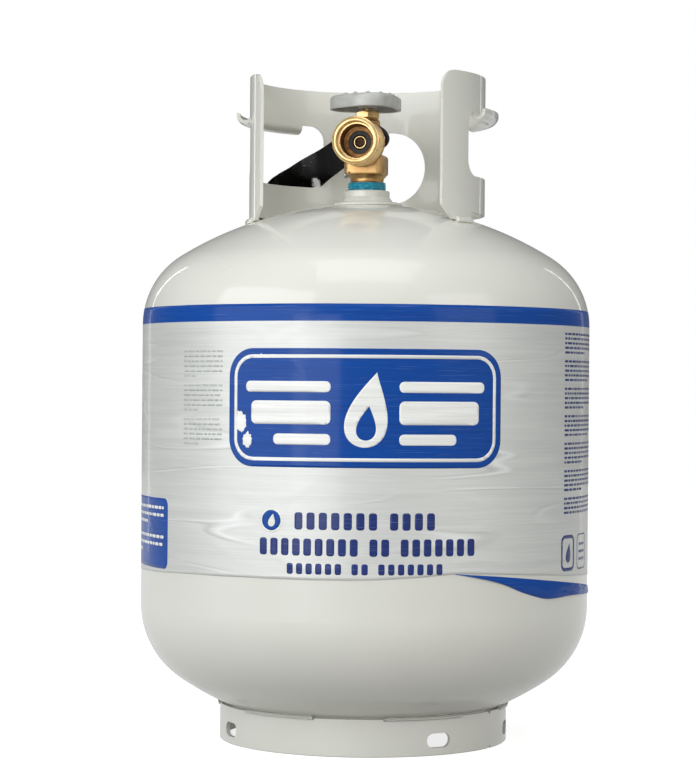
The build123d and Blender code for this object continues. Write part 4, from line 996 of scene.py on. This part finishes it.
def make_strap():
    """The plug's flat moulded strap, on edge, with the round eye at its end."""
    neck = frame_point("plug_spin")
    outward = Vector((neck.x, neck.y, 0)).normalized()
    points = [Vector(place) * MM for place in STRAP_ROUTE] + [neck]
    grid = bmesh.new()
    rings = []
    for station in range(STRAP_STATIONS + 1):
        place = (len(points) - 1) * station / STRAP_STATIONS
        point, direction = route_point(points, place)
        if (point - neck).length < STRAP_STOP * MM:
            break
        natural = direction.cross(UP).normalized()
        share = smooth_step((place - 2) / 3)
        normal = (natural * (1 - share) + outward * share).normalized()
        across = normal.cross(direction).normalized() * STRAP_WIDTH * MM / 2
        through = normal * STRAP_THICKNESS * MM / 2
        corners = (across + through, across - through, -across - through, -across + through)
        rings.append([grid.verts.new(point + corner) for corner in corners])
    for low, high in zip(rings, rings[1:]):
        for side in range(4):
            grid.faces.new((low[side], low[side - 1], high[side - 1], high[side]))
    grid.faces.new(rings[0])
    grid.faces.new(list(reversed(rings[-1])))
    side_axis = outward.cross(UP)
    loops = []
    for radius, depth in ((EYE_R, 0.5), (EYE_R, -0.5), (EYE_HOLE_R, -0.5), (EYE_HOLE_R, 0.5)):
        loop = []
        for step in range(EYE_TURNS):
            angle = 2 * math.pi * step / EYE_TURNS
            spoke = side_axis * math.cos(angle) + UP * math.sin(angle)
            offset = spoke * radius + outward * depth * STRAP_THICKNESS
            loop.append(grid.verts.new(neck + offset * MM))
        loops.append(loop)
    for index, loop in enumerate(loops):
        inner = loops[(index + 1) % len(loops)]
        for step in range(EYE_TURNS):
            after = (step + 1) % EYE_TURNS
            grid.faces.new((loop[step], loop[after], inner[after], inner[step]))
    bmesh.ops.recalc_face_normals(grid, faces=grid.faces)
    mesh = mesh_of(grid, "tether_strap_look")
    plastic = "black_plastic"
    strap = new_piece("tether_strap_look", mesh, plastic, "tether", plastic, "tether_strap")
    remesh_smooth(strap, 0.35 * MM, 6)


# The ring's sizes, and its shift towards +X, in millimetres.
RING_R = 13.1
RING_CORD_R = 1.65
RING_SHIFT = 0.8
RING_TILT = math.radians(-34.0)
RING_TURNS, RING_SIDES = 96, 20


def make_ring():
    """The tether's ring, a little too large for the valve's boss, so it hangs tilted to one side."""
    low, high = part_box("tether_ring")
    middle = (low + high) / 2 + Vector((RING_SHIFT * MM, 0, 0))
    tilt = Matrix.Rotation(RING_TILT, 3, "X")
    grid = bmesh.new()
    rings = []
    for turn in range(RING_TURNS):
        around = 2 * math.pi * turn / RING_TURNS
        outward = Vector((math.cos(around), math.sin(around), 0))
        cord = RING_CORD_R * (1 + 0.05 * noise.noise(outward * 2.2))
        ring = []
        for side in range(RING_SIDES):
            angle = 2 * math.pi * side / RING_SIDES
            place = outward * (RING_R + cord * math.cos(angle)) + UP * (cord * math.sin(angle))
            ring.append(grid.verts.new(middle + tilt @ (place * MM)))
        rings.append(ring)
    for index, ring in enumerate(rings):
        after = rings[(index + 1) % RING_TURNS]
        for side in range(RING_SIDES):
            above = (side + 1) % RING_SIDES
            grid.faces.new((ring[side], after[side], after[above], ring[above]))
    bmesh.ops.recalc_face_normals(grid, faces=grid.faces)
    mesh = mesh_of(grid, "tether_ring_look")
    parts = frame["record"]["subparts"]
    slot = next(part["material_slot"] for part in parts if part["node"] == "tether_ring")
    new_piece("tether_ring_look", mesh, slot, "tether", slot, "tether_ring")


# --- Studio ---

AIM = Vector((0, 0, 0.22))
# How bright the floor is in glossy paint, beside what the camera sees of it.
FLOOR_GLOSS_SHARE = 0.6
FLOOR_DIFFUSE = (0.28, 0.28, 0.27, 1)
# The room's light behind the tank and on the camera's side of it.
ROOM_BEHIND, ROOM_AHEAD = 0.18, 0.86


def add_camera():
    """The camera, level with the tank's middle and turned to one side of the outlet."""
    right = Vector((math.cos(VIEW_TURN), math.sin(VIEW_TURN), 0))
    away = Vector((-math.sin(VIEW_TURN), math.cos(VIEW_TURN), 0))
    place = -VIEW_DISTANCE * away - VIEW_SHIFT * right + Vector((0, 0, VIEW_HEIGHT))
    camera = bpy.data.objects.new("camera", bpy.data.cameras.new("camera"))
    bpy.context.scene.collection.objects.link(camera)
    camera.data.lens = VIEW_LENS
    camera.data.sensor_width = 36.0
    camera.matrix_world = (
        Matrix.Translation(place)
        @ Matrix.Rotation(VIEW_TURN, 4, "Z")
        @ Matrix.Rotation(math.pi / 2, 4, "X")
        @ Matrix.Rotation(VIEW_ROLL, 4, "Z")
    )
    bpy.context.scene.camera = camera


def softbox(name, bearing, distance, height, size, power, colour=(1, 1, 1)):
    """A soft light that faces the tank, at a bearing from the camera in degrees."""
    angle = VIEW_TURN + math.radians(bearing)
    place = on_wall(angle, distance, height)
    light = bpy.data.lights.new(name, "AREA")
    light.shape = "RECTANGLE"
    light.size, light.size_y = size
    light.energy = power
    light.color = colour
    lamp = bpy.data.objects.new(name, light)
    bpy.context.scene.collection.objects.link(lamp)
    lamp.visible_camera = False
    lamp.location = place
    lamp.rotation_euler = (AIM - place).to_track_quat("-Z", "Y").to_euler()


def floor_finish():
    """A floor that is white to the camera, a little less in glossy paint, and dim to other light."""
    pale = Finish("floor", Roughness=0.9, Base_Color=(0.5, 0.5, 0.5, 1))
    pale.shader.inputs["Emission Color"].default_value = (1, 1, 1, 1)
    pale.shader.inputs["Emission Strength"].default_value = 0.8
    dim = pale.add("ShaderNodeBsdfDiffuse", FLOOR_DIFFUSE)
    path = pale.add("ShaderNodeLightPath")
    mirrored = pale.maths("MULTIPLY", path.outputs["Is Glossy Ray"], FLOOR_GLOSS_SHARE)
    seen = pale.maths("MAXIMUM", path.outputs["Is Camera Ray"], mirrored)
    choose = pale.add("ShaderNodeMixShader", seen, dim.outputs[0])
    pale.feed(choose.inputs[2], pale.shader.outputs[0])
    pale.feed(pale.tree.nodes["Material Output"].inputs["Surface"], choose.outputs[0])
    return pale.material


def add_lights():
    """A large soft light at the left, a warmer one at the right, two strips behind, one above, and
    a small one in front."""
    softbox("key_light", -54, 1.8, 0.75, (1.83, 1.6), 17, (0.97, 0.985, 1.0))
    softbox("fill_light", 50, 2.6, 1.1, (1.6, 1.6), 10.5, (1.0, 0.97, 0.92))
    softbox("rim_left", -142, 1.9, 0.5, (0.06, 1.6), 1.0)
    softbox("rim_right", 142, 1.9, 0.5, (0.06, 1.6), 0.7)
    softbox("top_light", 0, 0.6, 2.0, (1.2, 1.2), 5.5)
    softbox("front_light", -24, 2.2, 0.25, (0.9, 0.7), 5.4, (0.98, 0.99, 1.0))


def add_backdrop():
    """White to the camera. To everything else, a room that is brighter on the camera's side."""
    world = bpy.data.worlds.new("studio")
    bpy.context.scene.world = world
    room = Nodes(world)
    to_camera = (math.sin(VIEW_TURN), -math.cos(VIEW_TURN), 0.25)
    direction = room.add("ShaderNodeTexCoord").outputs["Generated"]
    facing = room.add("ShaderNodeVectorMath", direction, to_camera, operation="DOT_PRODUCT")
    levels = (facing.outputs["Value"], -0.9, 0.9, ROOM_BEHIND, ROOM_AHEAD)
    level = room.add("ShaderNodeMapRange", *levels, interpolation_type="SMOOTHSTEP")
    light = room.add("ShaderNodeBackground", (0.96, 0.98, 1.0, 1), level.outputs["Result"])
    white = room.tree.nodes["Background"]
    room.feed(white.inputs["Color"], (1, 1, 1, 1))
    room.feed(white.inputs["Strength"], 1.0)
    seen = room.add("ShaderNodeLightPath").outputs["Is Camera Ray"]
    choose = room.add("ShaderNodeMixShader", seen, light.outputs[0], white.outputs[0])
    room.feed(room.tree.nodes["World Output"].inputs["Surface"], choose.outputs[0])


def add_floor():
    bpy.ops.mesh.primitive_plane_add(size=9.0, location=(0, 0, 0))
    floor = bpy.context.object
    floor.name = "floor"
    floor.data.materials.append(floor_finish())


dress_nodes()
make_film()
make_badge()
make_print()
make_flap()
make_metal_pieces()
make_springs()
make_strap()
make_ring()
add_camera()
add_lights()
add_backdrop()
add_floor()
bpy.context.scene.view_settings.view_transform = "Standard"
